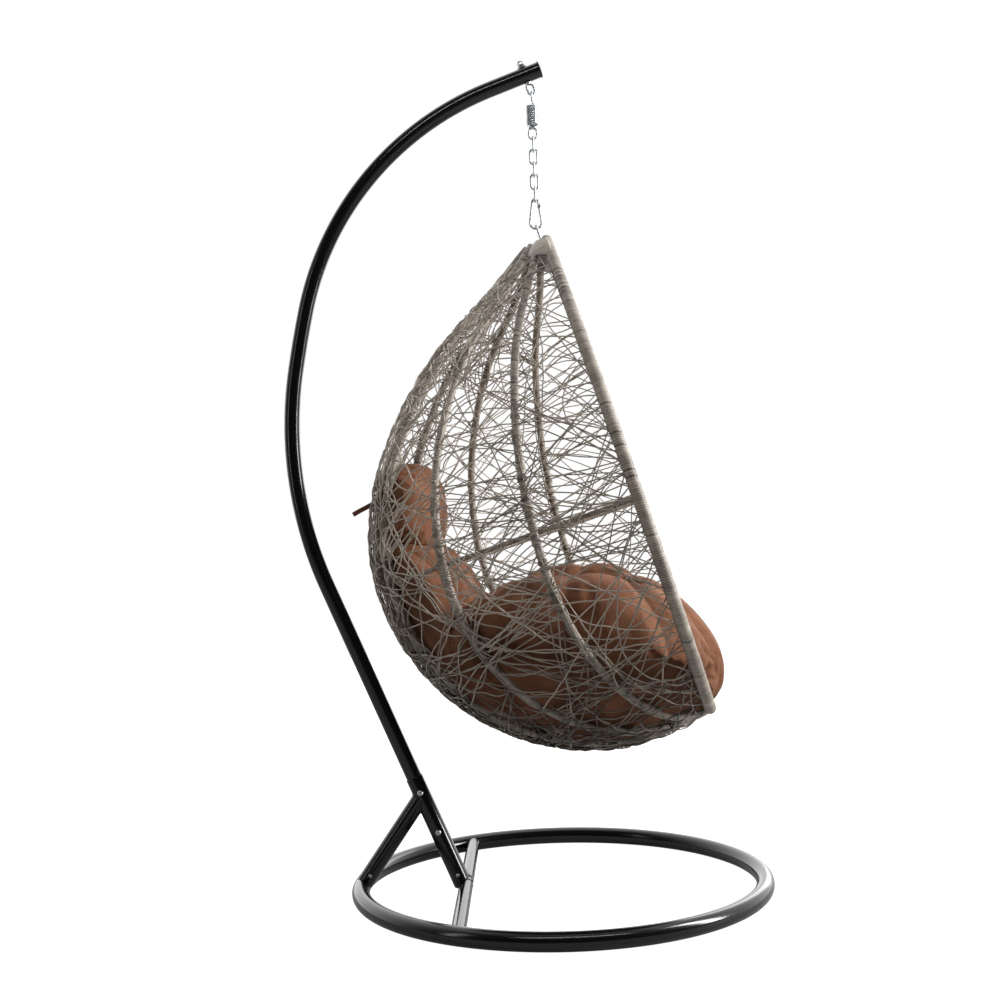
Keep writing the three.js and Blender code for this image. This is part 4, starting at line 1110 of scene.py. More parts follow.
def walk(starts, ways, bends, lengths):
    """Walks strands over the skin with a bend for each step, until each has its length or leaves
    the skin."""
    state, way = starts.copy(), ways
    live = np.ones(len(starts), bool)
    trail, alive = [state.copy()], [live.copy()]
    for i, bend in enumerate(bends):
        _, along, round_it, _ = skin_ways(state[:, 0], state[:, 1])
        gaa, gar, grr = ((along * along).sum(1), (along * round_it).sum(1),
                         (round_it * round_it).sum(1))
        ba, br = (along * way).sum(1), (round_it * way).sum(1)
        det = np.maximum(gaa * grr - gar ** 2, 1e-6)
        move = np.stack([(ba * grr - br * gar) / det, (br * gaa - ba * gar) / det], axis=1) * STEP
        state = state + move * live[:, None]
        _, _, _, normal = skin_ways(state[:, 0], state[:, 1])
        way = unit(way - normal * (way * normal).sum(1, keepdims=True))
        turn = bend * STEP * MM
        way = way * np.cos(turn)[:, None] + np.cross(normal, way) * np.sin(turn)[:, None]
        inside = ((state[:, 1] > 0) & (state[:, 1] < math.pi) & (state[:, 0] > STRAND_T_MIN)
                  & (state[:, 0] < STRAND_T_MAX))
        live = live & inside & ((i + 1) * STEP < lengths)
        trail.append(state.copy())
        alive.append(live.copy())
    return np.array(trail), np.array(alive)


def lay_strands(rng, count, t_span, phi_span, heading, length, wander, loops):
    """Walks strands both ways from random starts, with bends per metre of wander, some of them in
    tight loops. Gives runs of (t, phi) with even steps."""
    starts = strand_starts(rng, count, t_span, phi_span)
    _, along, across, _ = rib_frame(starts[:, 0], starts[:, 1])
    angle = heading(rng, count)
    first = along * np.cos(angle)[:, None] + across * np.sin(angle)[:, None]
    wander = np.where(rng.random(count) < loops, wander * LOOP_WANDER, wander)
    curl = rng.normal(0, 1, count) * wander
    lengths = rng.uniform(*length, count)
    split = rng.uniform(0.3, 0.7, count)
    steps = int(math.ceil(length[1] / STEP)) + 1
    halves = []
    for sign, share in ((1, split), (-1, 1 - split)):
        drift = rng.normal(0, DRIFT, (steps // DRIFT_STEPS + 2, count)) * wander
        bends = np.array([curl * sign + drift[i // DRIFT_STEPS] for i in range(steps)])
        halves.append(walk(starts, first * sign, bends, lengths * share))
    runs = []
    for k in range(count):
        ends = []
        for trail, alive in halves:
            stop = int(np.argmin(alive[:, k])) if not alive[:, k].all() else len(alive) - 1
            ends.append(trail[:stop + 1, k])
        runs.append(np.concatenate([ends[1][::-1], ends[0][1:]]))
    return runs


def tied_part(run):
    """The part of a strand between its first and last tie, where it crosses a rib or meets the rim,
    and the ribs' ties at its ends."""
    phi = run[:, 1]
    ties = {0: None} if min(phi[0], math.pi - phi[0]) <= 0 else {}
    for rib in RIB_PHIS:
        for k in np.nonzero((phi[1:] > rib) != (phi[:-1] > rib))[0]:
            ties[int(k)] = run[k] + (run[k + 1] - run[k]) * (rib - phi[k]) / (phi[k + 1] - phi[k])
    if min(phi[-1], math.pi - phi[-1]) <= 0:
        ties[len(run) - 1] = None
    if len(ties) < 2:
        return None, []
    first, last = min(ties), max(ties)
    if last - first < TIED_STEPS_MIN:
        return None, []
    middle = run[first + 1:last + 1]
    head = run[:1] if ties[first] is None else ties[first][None]
    tail = run[-1:] if ties[last] is None else ties[last][None]
    on_ribs = [at for at in (ties[first], ties[last]) if at is not None]
    return np.concatenate([head, middle, tail]), on_ribs


def lift_strand(rng, run, base):
    """Sets a strand out from the skin: over and under its neighbours, now and then inside a rib,
    ends tucked in."""
    t, phi = run[:, 0], np.clip(run[:, 1], 0, math.pi)
    point, _, round_it, normal = skin_ways(t, phi)
    s = np.arange(len(run)) * STEP
    out = base + WAVE_HEIGHT * np.sin(2 * np.pi * s / rng.uniform(*WAVE_LENGTHS)
                                      + rng.uniform(0, 2 * np.pi))
    girth = np.linalg.norm(round_it, axis=1)
    for rib in RIB_PHIS:
        if rng.random() < DIP_CHANCE:
            away = np.abs(phi - rib) * girth
            dip = ease(1 - np.clip((away - DIP_FLAT) / DIP_FADE, 0, 1))
            out = out * (1 - dip) - DIP_DEPTH * dip
    edge = np.minimum(phi, np.pi - phi) * girth
    tuck = np.clip(np.minimum(s, s[-1] - s) / END_FADE, 0, 1)
    top = np.clip((t - 0.05) / 0.2, 0, 1)
    share = np.minimum(np.minimum(np.clip(edge / RIM_FADE, 0, 1), 0.25 + 0.75 * tuck),
                       0.35 + 0.65 * top)
    return point + normal * (out * ease(share))[:, None]


def follow_rib(rng, phi, t_from, t_to, reach):
    """A strand laid along a rib, turning slowly about its outer half, with its ends tucked into the
    wrap."""
    t = np.linspace(t_from, t_to, int((t_to - t_from) * 70) + 4)
    point, _, across, normal = rib_frame(t, phi)
    turn = np.clip(rng.uniform(-1.4, 1.4) + np.cumsum(rng.normal(0, 0.2, len(t))), -1.9, 1.9)
    away = reach + np.cumsum(rng.normal(0, 0.25, len(t)))
    tuck = np.clip(np.minimum(np.arange(len(t)), np.arange(len(t))[::-1]) / 3, 0.2, 1)
    sideways = normal * np.cos(turn)[:, None] + across * np.sin(turn)[:, None]
    return point + sideways * (away * tuck)[:, None]


def coil_round(rng, tie, radius, pitch):
    """A strand's end, wound a few times round the rib that it is tied to."""
    turns = rng.uniform(*COIL_TURNS)
    s = np.linspace(0, turns, int(turns * COIL_STEPS) + 1)
    point, along, across, normal = rib_frame(*tie)
    angle = 2 * math.pi * s + rng.uniform(0, 2 * math.pi)
    reach = np.where((s < 0.12) | (s > turns - 0.12), radius * 0.75, radius)[:, None]
    centre = point + along * ((s - turns / 2) * pitch)[:, None]
    return centre + (normal * np.cos(angle)[:, None] + across * np.sin(angle)[:, None]) * reach


def strand_piece(name, runs, thickness, tones, *nodes):
    """One piece of many strands, with each strand's shade in an attribute."""
    mesh = tube_mesh(runs, thickness / 2, STRAND_SIDES)
    shade = np.concatenate(
        [np.full(len(run) * STRAND_SIDES, tone) for run, tone in zip(runs, tones)])
    set_attribute(mesh, "tone", shade)
    close_ends(mesh)
    dress(new_object(name, mesh), "egg", "rattan_weave", *nodes)


def painted_shade_below(runs):
    """Painted shade for each strand: those that run low under the egg are painted darker."""
    low = np.array([run[:, 2].mean() for run in runs])
    return np.clip((WEAVE_PAINTED_SHADE_Z - low) / WEAVE_PAINTED_SHADE_DEPTH, 0, 1) * 0.8


def build_weave():
    """The random weave over the ribs, the strands that run down the egg, and the ties on its
    ribs."""
    wicker = bpy.context.scene.egg_chair_wicker
    thickness = wicker.strand_thickness / MM
    rib_r = wicker.rib_thickness / MM / 2
    rng = np.random.default_rng(wicker.seed)

    def any_way(rng, count):
        return rng.uniform(0, math.pi, count)

    def lengthwise(rng, count):
        return rng.normal(0, 0.3, count)

    whole = (0.001, math.pi - 0.001)
    ties = []
    # Name, count, spans of t and phi, heading, lengths, wander, share of loops, and whether it is
    # tied to the ribs
    fields = (
        ("weave_field", wicker.strand_count, (0.06, 1.62), whole, any_way, (260, 860),
         0.6, 0.16, True),
        ("weave_flank", wicker.strand_count // 4, (0.7, 1.2), (0.001, 0.85), any_way, (260, 720),
         0.8, 0.15, True),
        ("weave_crown", 40, (0.08, 0.32), (0.5, 2.64), lengthwise, (160, 420), 1.2, 0.2, False),
        ("weave_back", 40, (0.3, 1.2), (1.2, 1.57), lengthwise, (300, 800), 0.8, 0.2, False),
        ("weave_belly", 50, (1.1, 1.93), (1.34, 1.57), lengthwise, (300, 800), 1.0, 0.2, False),
        ("weave_tip", 30, (1.65, 1.96), whole, lengthwise, (150, 400), 1.5, 0.2, False),
    )
    for name, count, t_span, phi_span, heading, length, wander, loops, tied in fields:
        laid = lay_strands(rng, count, t_span, phi_span, heading, length, wander, loops)
        if tied:
            cut = [tied_part(run) for run in laid]
            laid = [run for run, _ in cut if run is not None]
            ties = [tie for _, ends in cut for tie in ends]
        runs = []
        for run in laid:
            if len(run) >= STRAND_POINTS_MIN:
                out = STRAND_OUT + rng.uniform(-STRAND_OUT_SPREAD, STRAND_OUT_SPREAD)
                runs.append(even_run(egg_points(lift_strand(rng, run, out)), STEP * MM))
        # The tone holds each strand's random tone plus painted shade for the strands low under the
        # egg.
        tones = rng.random(len(runs)) * 0.6 + painted_shade_below(runs)
        if not tied:
            strand_piece(name, runs, thickness, tones)
            continue
        near = [run[:, 1].mean() < SIDE_Y for run in runs]
        for side in ("right", "left"):
            here = [k for k, is_right in enumerate(near) if is_right == (side == "right")]
            piece = f"{name}_{side}"
            nodes = ["wicker"] if piece == "weave_field_right" else []
            strand_piece(piece, [runs[k] for k in here], thickness, tones[here], *nodes)
    picked = rng.permutation(len(ties))[:wicker.tie_count]
    coils = [egg_points(coil_round(rng, ties[k], rib_r + thickness * 0.2, thickness * 1.04))
             for k in picked]
    strand_piece("weave_ties", coils, thickness, rng.random(len(coils)))
    along = [follow_rib(rng, phi, a, a + rng.uniform(0.25, 0.8), rib_r + rng.uniform(0.5, 2.0))
             for phi in RIB_PHIS for a in rng.uniform(0.07, 1.15, 2)]
    along += [follow_rib(rng, math.pi / 2, rng.uniform(1.05, 1.4), rng.uniform(1.9, 1.97),
                         rib_r + rng.uniform(1, 4))
              for _ in range(14)]
    runs = [egg_points(run) for run in along]
    # These strands also get painted shade where they run low under the egg.
    strand_piece("weave_along_ribs", runs, thickness,
                 rng.random(len(runs)) * 0.6 + painted_shade_below(runs))


# ---------------------------------------------------------------- cushions
def with_modifier(piece, kind, **settings):
    """Adds one modifier, bakes it into the mesh and takes it off."""
    modifier = piece.modifiers.new(kind.title(), kind)
    for key, value in settings.items():
        setattr(modifier, key, value)
    mesh = evaluated_mesh(piece)
    piece.modifiers.clear()
    old = piece.data
    piece.data = mesh
    bpy.data.meshes.remove(old)
    return piece


def smooth_form(piece, rounds, share=0.5):
    bm = bmesh.new()
    bm.from_mesh(piece.data)
    for _ in range(rounds):
        bmesh.ops.smooth_vert(bm, verts=bm.verts, factor=share, use_axis_x=True, use_axis_y=True,
                              use_axis_z=True)
    bm.to_mesh(piece.data)
    bm.free()


def vertex_normals(mesh):
    n = np.zeros(len(mesh.vertices) * 3, np.float32)
    mesh.vertices.foreach_get("normal", n)
    return n.reshape(-1, 3).astype(float)


def shift_along_normals(piece, amount):
    """Moves each point along its normal by millimetres."""
    mesh = piece.data
    move_to(mesh, coordinates(mesh) + vertex_normals(mesh) * (np.asarray(amount) * MM)[:, None])


CLOTH = {
    "quality": 4, "mass": 0.25, "tension_stiffness": 12, "compression_stiffness": 12,
    "shear_stiffness": 4, "bending_stiffness": 0.3, "use_pressure": True, "shrink_min": -0.06,
    "vertex_group_mass": "held",
}
CLOTH_FRAMES = 20


def swell_by_cloth(piece, held, pressure, cap):
    """Blows the cover up as cloth, held at some points, and caps how far a point may go."""
    scene = bpy.context.scene
    mesh = piece.data
    group = piece.vertex_groups.new(name="held")
    for i in np.nonzero(held > 0.02)[0]:
        group.add([int(i)], float(held[i]), "REPLACE")
    cloth = piece.modifiers.new("Cloth", "CLOTH")
    for key, value in CLOTH.items():
        setattr(cloth.settings, key, value)
    cloth.settings.uniform_pressure_force = pressure
    cloth.settings.effector_weights.gravity = 0
    cloth.collision_settings.use_collision = False
    cloth.collision_settings.use_self_collision = False
    before = coordinates(mesh)
    for number in range(1, CLOTH_FRAMES + 1):
        scene.frame_set(number)
    swollen = evaluated_mesh(piece)
    after = coordinates(swollen)
    bpy.data.meshes.remove(swollen)
    piece.modifiers.clear()
    piece.vertex_groups.clear()
    scene.frame_set(1)
    go = after - before
    far = np.linalg.norm(go, axis=1, keepdims=True)
    go *= np.minimum(1, cap * MM / np.maximum(far, 1e-9))
    move_to(mesh, before + go)


def skin_tree(out):
    """A search tree of the egg's skin moved out by millimetres."""
    rows, columns = 90, 90
    t, phi = np.meshgrid(np.linspace(0.02, 1.99, rows), np.linspace(-0.05, math.pi + 0.05, columns),
                         indexing="ij")
    point, _, _, normal = skin_ways(t, phi)
    places = egg_points(point + normal * out).reshape(-1, 3)
    quads = [(i * columns + j, i * columns + j + 1, (i + 1) * columns + j + 1,
              (i + 1) * columns + j)
             for i in range(rows - 1) for j in range(columns - 1)]
    return BVHTree.FromPolygons([tuple(p) for p in places], quads)


def keep_inside(piece, tree, centre):
    """Brings back each point that stands outside the skin."""
    co = coordinates(piece.data)
    for i, p in enumerate(co):
        near, normal, _, _ = tree.find_nearest(Vector(p))
        if normal.dot(near - centre) < 0:
            normal = -normal
        over = (Vector(p) - near).dot(normal)
        if over > 0:
            co[i] = np.array(Vector(p) - normal * over)
    move_to(piece.data, co)


def upright_places(co):
    """Row frame metres as upright egg frame millimetres."""
    c, s = math.cos(-EGG_YAW), math.sin(-EGG_YAW)
    d = (co - np.array(PLUMB)) / MM
    return np.stack([d[:, 0] * c - d[:, 1] * s, d[:, 0] * s + d[:, 1] * c, d[:, 2]], axis=1)


def bell(distance, width):
    return np.exp(-(distance / width) ** 2)


def finish_cushion(piece, name, node):
    piece.name = name
    piece.data.name = name
    for polygon in piece.data.polygons:
        polygon.use_smooth = True
    dress(piece, "egg", "cushion_cloth", node)


def pad_form(centre, half, lean, power, voxel, dent=None, round_front=0.0):
    """A soft block in the chair's upright frame: a ball filled out by a power across the chair,
    dented on top."""
    bm = bmesh.new()
    bmesh.ops.create_icosphere(bm, subdivisions=6, radius=1.0)
    mesh = bpy.data.meshes.new("pad")
    bm.to_mesh(mesh)
    bm.free()
    p = coordinates(mesh)
    flat = np.hypot(p[:, 0], p[:, 2])
    size = (flat ** power + np.abs(p[:, 1]) ** power) ** (1 / power)
    p = p / size[:, None] * np.array(half)
    below, above = np.clip(-p[:, 2] / half[2], 0, 1), np.clip(p[:, 2] / half[2], 0, 1)
    drawn_in = round_front * ((p[:, 1] / half[1]) ** 2 + below + 0.7 * above)
    p[:, 0] *= np.where(p[:, 0] > 0, 1 - drawn_in, 1)
    c, s = math.cos(lean), math.sin(lean)
    p[:, 0], p[:, 2] = p[:, 0] * c + p[:, 2] * s, p[:, 2] * c - p[:, 0] * s
    p += np.array(centre)
    if dent:
        dent_x, half_x, half_y, depth = dent
        r = np.hypot((p[:, 0] - dent_x) / half_x, p[:, 1] / half_y)
        above = np.clip((p[:, 2] - centre[2]) / half[2] * 2, 0, 1)
        p[:, 2] -= depth * ease(np.clip((1.15 - r) / 0.9, 0, 1)) * above
    turn = np.array(EGG_TURN.to_3x3())
    move_to(mesh, (p * MM) @ turn.T + np.array(PLUMB))
    piece = new_object("pad", mesh)
    with_modifier(piece, "REMESH", mode="VOXEL", voxel_size=voxel)
    smooth_form(piece, 4)
    return piece


def keep_clear(piece, other):
    """Brings back each point of a cushion that lies inside another one."""
    tree = BVHTree.FromObject(other, bpy.context.evaluated_depsgraph_get())
    co = coordinates(piece.data)
    for i, p in enumerate(co):
        near, normal, _, _ = tree.find_nearest(Vector(p))
        if (Vector(p) - near).dot(normal) < 0:
            co[i] = np.array(near + normal * COVER_GAP * MM)
    move_to(piece.data, co)


# Mesh sizes as shares of the setting, and how far a cover stands in before it is blown up, in
# millimetres
SEAT_MESH_SHARE, PAD_MESH_SHARE = 1.6, 1.4
SEAT_DRAWN_IN, PAD_DRAWN_IN, SEAT_SWELL = 16, 8, 16
COVER_GAP, PAD_INSET = 1.5, 12.0
EGG_MIDDLE = (0, 0, 700)
SEAT_FORM = {"centre": (80, 0, 520), "half": (342, 428, 264), "lean": 0.0, "power": 6.0,
             "dent": (40, 200, 255, 200), "round_front": 0.25}
BACK_FORM = {"centre": (-274, 0, 684), "half": (104, 335, 188), "lean": math.radians(-28),
             "power": 2.6}
HEAD_FORM = {"centre": (-318, 0, 918), "half": (66, 240, 134), "lean": math.radians(-3),
             "power": 2.3}
SEAT_AXIS_X = 80
SEAT_SEAMS = np.radians([-160, -122, -92, -62, -30, 0, 30, 62, 92, 122, 160])
SEAT_TUFTS = ((374, -225, 550), (374, 225, 550), (40, 0, 560))
SLOT_Y, SLOT_Z, SLOT_WIDENESS, SLOT_REACH, SLOT_DEPTH = 262, 543, 4.4, 11, 25
FOLD_COUNT, FOLD_REACH, FOLD_DEPTH, TUFT_DEPTH = 7, 95, 5.5, 30
# In front of these planes lie the seat's front tufts, its slots and its folds
TUFT_FRONT_X, SLOT_FRONT_X, FOLD_FRONT_X = 250, 230, 200


def seat_marks(p):
    """How near each point is to a radial seam (0 to 1), and how near to a tuft."""
    away_x, away_y = p[:, 0] - SEAT_AXIS_X, p[:, 1]
    radius = np.hypot(away_x, away_y)
    turn = np.abs((np.arctan2(away_y, away_x)[:, None] - SEAT_SEAMS + math.pi) % (2 * math.pi)
                  - math.pi)
    seam = bell(turn.min(axis=1) * radius, 15) * np.clip((radius - 90) / 120, 0, 1)
    front = sum(bell(np.hypot(p[:, 1] - y, p[:, 2] - z), 24) for _, y, z in SEAT_TUFTS[:2])
    front *= p[:, 0] > TUFT_FRONT_X
    x, y, z = SEAT_TUFTS[2]
    top = bell(np.hypot(p[:, 0] - x, p[:, 1] - y), 34) * (p[:, 2] > z - 150)
    return seam, np.clip(front + top, 0, 1)


def front_slots(p):
    """The pulled-in slot beside each tuft in the seat's front, wider across the chair than it is
    high."""
    across, up = (np.abs(p[:, 1]) - SLOT_Y) / SLOT_WIDENESS, p[:, 2] - SLOT_Z
    return bell(np.hypot(across, up), SLOT_REACH) * (p[:, 0] > SLOT_FRONT_X)


def folds_to(p, at, rng):
    """Folds that run out from a tuft in the seat's front, in millimetres, strongest next to it."""
    across, up = p[:, 1] - at[1], p[:, 2] - at[2]
    far = np.hypot(across, up)
    sway = 1.6 * np.sin(far / 26 + rng.uniform(0, 6))
    ripple = np.sin(np.arctan2(up, across) * FOLD_COUNT + sway)
    return ripple * np.clip(far / 22, 0, 1) * bell(far, FOLD_REACH) * (p[:, 0] > FOLD_FRONT_X)


def build_seat():
    """The deep seat: blown up between its seams and tufts, then folded, piped and slotted."""
    pads = bpy.context.scene.egg_chair_cushions
    rng = np.random.default_rng(41)
    piece = pad_form(voxel=pads.voxel * SEAT_MESH_SHARE, **SEAT_FORM)
    skin_near, middle = skin_tree(0.0), upright(*EGG_MIDDLE)
    keep_inside(piece, skin_near, middle)
    p = upright_places(coordinates(piece.data))
    seam, tuft = seat_marks(p)
    shift_along_normals(piece, -SEAT_DRAWN_IN - 2 * seam - TUFT_DEPTH * tuft)
    swell_by_cloth(piece, np.clip(seam ** 2 + tuft, 0, 1), pads.pressure, SEAT_SWELL)
    p = upright_places(coordinates(piece.data))
    seam, tuft = seat_marks(p)
    folds = sum(folds_to(p, at, rng) for at in SEAT_TUFTS[:2])
    shift_along_normals(piece, -seam ** 2 + FOLD_DEPTH * folds - 8 * tuft)
    smooth_form(piece, 1)
    with_modifier(piece, "SUBSURF", levels=1, render_levels=1)
    keep_inside(piece, skin_near, middle)
    p = upright_places(coordinates(piece.data))
    seam, tuft = seat_marks(p)
    piping = bell(1 - seam, 0.1)
    slot = front_slots(p)
    shift_along_normals(piece, -0.8 * piping - SLOT_DEPTH * slot)
    # Painted shade in the piping, the tufts and the slots.
    set_attribute(piece.data, "groove", np.clip(piping * 0.3 + tuft ** 2 + 0.3 * slot, 0, 1))
    finish_cushion(piece, "seat_pad", "seat_cushion")


def build_pad(name, node, form, seams, cap, below=None):
    """A cushion with upright channels at some places across it, clear of the one below it."""
    pads = bpy.context.scene.egg_chair_cushions
    piece = pad_form(voxel=pads.voxel * PAD_MESH_SHARE, **form)
    p = upright_places(coordinates(piece.data))
    channel = sum([bell(p[:, 1] - y, 14) for y in seams], np.zeros(len(p)))
    shift_along_normals(piece, -PAD_DRAWN_IN - 4 * channel)
    swell_by_cloth(piece, np.clip(channel, 0, 1) ** 2, pads.pressure, cap)
    with_modifier(piece, "SUBSURF", levels=1, render_levels=1)
    keep_inside(piece, skin_tree(-PAD_INSET), upright(*EGG_MIDDLE))
    if below:
        keep_clear(piece, bpy.data.objects[below])
    p = upright_places(coordinates(piece.data))
    channel = sum([bell(p[:, 1] - y, 5) for y in seams], np.zeros(len(p)))
    shift_along_normals(piece, -1.5 * channel)
    # Painted shade in the channels.
    set_attribute(piece.data, "groove", np.clip(channel, 0, 1) * 0.6)
    finish_cushion(piece, name, node)


def build_back():
    build_pad("back_pad", "backrest_cushion", BACK_FORM, (-200, -70, 70, 200), 16, "seat_pad")


def build_headrest():
    build_pad("head_pad", "headrest_cushion", HEAD_FORM, (), 12, "back_pad")


def build_tie():
    """The headrest's tape, folded double and stitched, coming out between the strands."""
    bm = bmesh.new()
    (x0, z0), (x1, z1) = TIE_FROM, TIE_TO
    run = []
    for s in np.linspace(0, 1, 14):
        sag = 3.5 * math.sin(s * math.pi * 1.4)
        run.append(upright(x0 + (x1 - x0) * s, TIE_Y + 3 * math.sin(s * 3),
                           z0 + (z1 - z0) * s - sag))
    way = (run[-1] - run[0]).normalized()
    across = way.cross(EGG_TURN.to_3x3() @ Vector((0, 1, 0))).normalized()
    start = [bm.verts.new(run[0] + across * side * TIE_WIDTH / 2 * MM) for side in (-1, 1)]
    edge = bm.edges.new(start)
    for here, there in zip(run, run[1:]):
        made = bmesh.ops.extrude_edge_only(bm, edges=[edge])
        verts = [g for g in made["geom"] if isinstance(g, bmesh.types.BMVert)]
        bmesh.ops.translate(bm, verts=verts, vec=there - here)
        edge = next(g for g in made["geom"] if isinstance(g, bmesh.types.BMEdge)
                    and all(v in verts for v in g.verts))
    bmesh.ops.recalc_face_normals(bm, faces=bm.faces)
    bmesh.ops.solidify(bm, geom=bm.faces[:], thickness=TIE_THICKNESS * MM)
    piece = set_piece("head_pad_tie", bm, "egg", "cushion_cloth", "headrest_tie", sharp=50)
    bevel = piece.modifiers.new("Soft edge", "BEVEL")
    bevel.width, bevel.segments = 0.4 * MM, 2


# ---------------------------------------------------------------- stage
CAMERA_PLACE = (-47.5, -3369, 896.7)     # from the ring's centre, in millimetres
CAMERA_PAN, CAMERA_TILT, CAMERA_ROLL = (math.radians(a) for a in (-1.193, 0.67, -1.937))
CAMERA_WIDTHS = 1.4039                   # focal length over picture width
SENSOR = 36.0


def build_camera():
    way = Vector((math.sin(CAMERA_PAN) * math.cos(CAMERA_TILT),
                  math.cos(CAMERA_PAN) * math.cos(CAMERA_TILT),
                  math.sin(CAMERA_TILT)))
    right = Vector((math.cos(CAMERA_PAN), -math.sin(CAMERA_PAN), 0))
    up = right.cross(way)
    c, s = math.cos(CAMERA_ROLL), math.sin(CAMERA_ROLL)
    right, up = right * c + up * s, up * c - right * s
    data = bpy.data.cameras.new("studio_camera")
    data.sensor_width = SENSOR
    data.sensor_fit = "HORIZONTAL"
    data.lens = SENSOR * CAMERA_WIDTHS
    data.dof.use_dof = False
    camera = new_object("studio_camera", data)
    turn = Matrix((right, up, -way)).transposed().to_4x4()
    x, y, z = CAMERA_PLACE
    camera.matrix_world = Matrix.Translation(on_stand(x, z, y)) @ turn
    bpy.context.scene.camera = camera


FLOOR_R = 6.0
LAMPS = (
    ("right_strip", (3.0, -0.55, 1.9), (0.7, 2.6), 165),
    ("left_strip", (-3.0, -1.9, 1.7), (0.3, 2.4), 10),
    ("near_strip", (0.3, -2.3, 3.6), (3.4, 0.2), 34),
    ("overhead", (0.5, 0.4, 3.6), (2.2, 2.2), 12),
    ("back_strip", (1.8, 3.0, 1.8), (1.2, 2.6), 30),
)


def add_lamp(name, place, target, size, power):
    data = bpy.data.lights.new(name, "AREA")
    data.shape = "RECTANGLE"
    data.size, data.size_y = size
    data.energy = power
    lamp = new_object(name, data)
    lamp.matrix_world = Matrix.Translation(place) @ (Vector(target) - Vector(place)).to_track_quat(
        "-Z", "Y").to_matrix().to_4x4()


def light_world(stage):
    """White seen from everywhere; as light it is bright behind the chair and overhead, and dim on
    the near side."""
    world = bpy.data.worlds.new("Studio")
    world.use_nodes = True
    tree = world.node_tree
    way = put(tree, "SeparateXYZ", {"Vector": put(tree, "TexCoord").outputs["Generated"]})
    depth = put(tree, "MapRange", {"Value": way.outputs["Y"], "From Min": -0.45, "From Max": 0.9,
                                   "To Min": stage.near_light, "To Max": stage.far_light},
                interpolation_type="SMOOTHSTEP")
    lit = put(tree, "Background",
              {"Color": (*stage.backdrop, 1), "Strength": depth.outputs["Result"]})
    seen = put(tree, "Background", {"Color": (1, 1, 1, 1), "Strength": 1.0})
    path = put(tree, "LightPath")
    both = put(tree, "MixShader",
               {0: path.outputs["Is Camera Ray"], 1: lit.outputs[0], 2: seen.outputs[0]})
    tree.links.new(both.outputs[0], tree.nodes["World Output"].inputs["Surface"])
    bpy.context.scene.world = world


def build_stage():
    stage = bpy.context.scene.egg_chair_stage
    bpy.context.scene.view_settings.view_transform = "Standard"
    light_world(stage)
    bm = bmesh.new()
    bmesh.ops.create_circle(bm, cap_ends=True, cap_tris=False, segments=96, radius=FLOOR_R)
    mesh = bpy.data.meshes.new("floor")
    bm.to_mesh(mesh)
    bm.free()
    floor = new_object("floor", mesh)
    mesh.materials.append(lit_acrylic((*stage.floor, 1), stage.floor_glow))
    centre = (0, 0, 1.0)
    for name, place, size, power in LAMPS:
        add_lamp(name, place, centre, size, power * stage.lamp)
    build_camera()


# ---------------------------------------------------------------- the add-on
def colour_setting(name, description, colour):
    return bpy.props.FloatVectorProperty(
        name=name, description=description, default=linear(colour)[:3], subtype="COLOR", size=3,
        min=0, max=1)


def length_setting(name, description, default, low, high):
    """A length, its default and limits in millimetres."""
    return bpy.props.FloatProperty(
        name=name, description=description, default=default * MM, min=low * MM, max=high * MM,
        unit="LENGTH", precision=4)


def strength_setting(name, description, default, high):
    return bpy.props.FloatProperty(name=name, description=description, default=default, min=0,
                                   max=high)


class EggChairColours(bpy.types.PropertyGroup):
    paint: colour_setting("Paint", "Powder coat on the stand", "#080809")
    zinc: colour_setting("Zinc", "Plating on the spring, chain and hook", "#d6d8da")
    rattan_light: colour_setting("Rattan, light", "The paler shade of the strands", "#a89d90")
    rattan_dark: colour_setting("Rattan, dark", "The darker shade of the strands", "#3d342c")
    cloth_light: colour_setting("Cloth, light", "The paler shade of the cushion cloth", "#76503b")
    cloth_dark: colour_setting("Cloth, dark", "The darker shade of the cushion cloth", "#543626")


class EggChairWicker(bpy.types.PropertyGroup):
    strand_thickness: length_setting("Strand", "Thickness of a woven strand", 3.0, 2, 10)
    strand_count: bpy.props.IntProperty(
        name="Strands", description="How many strands cross the field of the weave", default=800,
        min=20, max=1200)
    tie_count: bpy.props.IntProperty(
        name="Ties", description="How many strand ends are wound round the ribs", default=100,
        min=0, max=600)
    rib_thickness: length_setting("Rib", "Thickness of a wrapped rib", 18.4, 10, 30)
    rim_thickness: length_setting("Rim", "Thickness of the wrapped rim", 28.0, 20, 40)
    wrap_width: length_setting("Wrap", "Width of the flat strand that wraps rim and ribs",
                               5.0, 3, 12)
    seed: bpy.props.IntProperty(name="Seed", description="Which random weave is laid", default=7,
                                min=0, max=9999)


class EggChairCushions(bpy.types.PropertyGroup):
    voxel: length_setting("Mesh size", "Mesh size of the cushion covers before they are blown up",
                          5, 3, 20)
    pressure: strength_setting("Pressure", "Pressure inside the covers", 4.0, 20)


class EggChairStage(bpy.types.PropertyGroup):
    floor: colour_setting("Floor", "Colour of the floor", "#8c8c8c")
    backdrop: colour_setting("Backdrop", "Colour of the light from all round", "#ffffff")
    near_light: strength_setting("Near light", "Strength of the light from the camera's side",
                                 0.04, 3)
    far_light: strength_setting("Far light", "Strength of the light from behind the chair", 2.0, 5)
    floor_glow: strength_setting("Floor glow", "Strength of the light through the floor", 0.12, 3)
    lamp: strength_setting("Lamps", "Strength of the studio lamps", 1.0, 10)


class EGGCHAIR_OT_stage(bpy.types.Operator):
    """Set up the floor, the lamps and the camera"""
    bl_idname = "eggchair.stage"
    bl_label = "Stage"

    def execute(self, context):
        build_stage()
        return {"FINISHED"}


class EGGCHAIR_OT_base(bpy.types.Operator):
    """Make the ring, the crossbar, the leg and the strut"""
    bl_idname = "eggchair.base"
    bl_label = "Ring base"

    def execute(self, context):
        build_ring()
        build_crossbar()
        build_leg()
        build_strut()
        return {"FINISHED"}


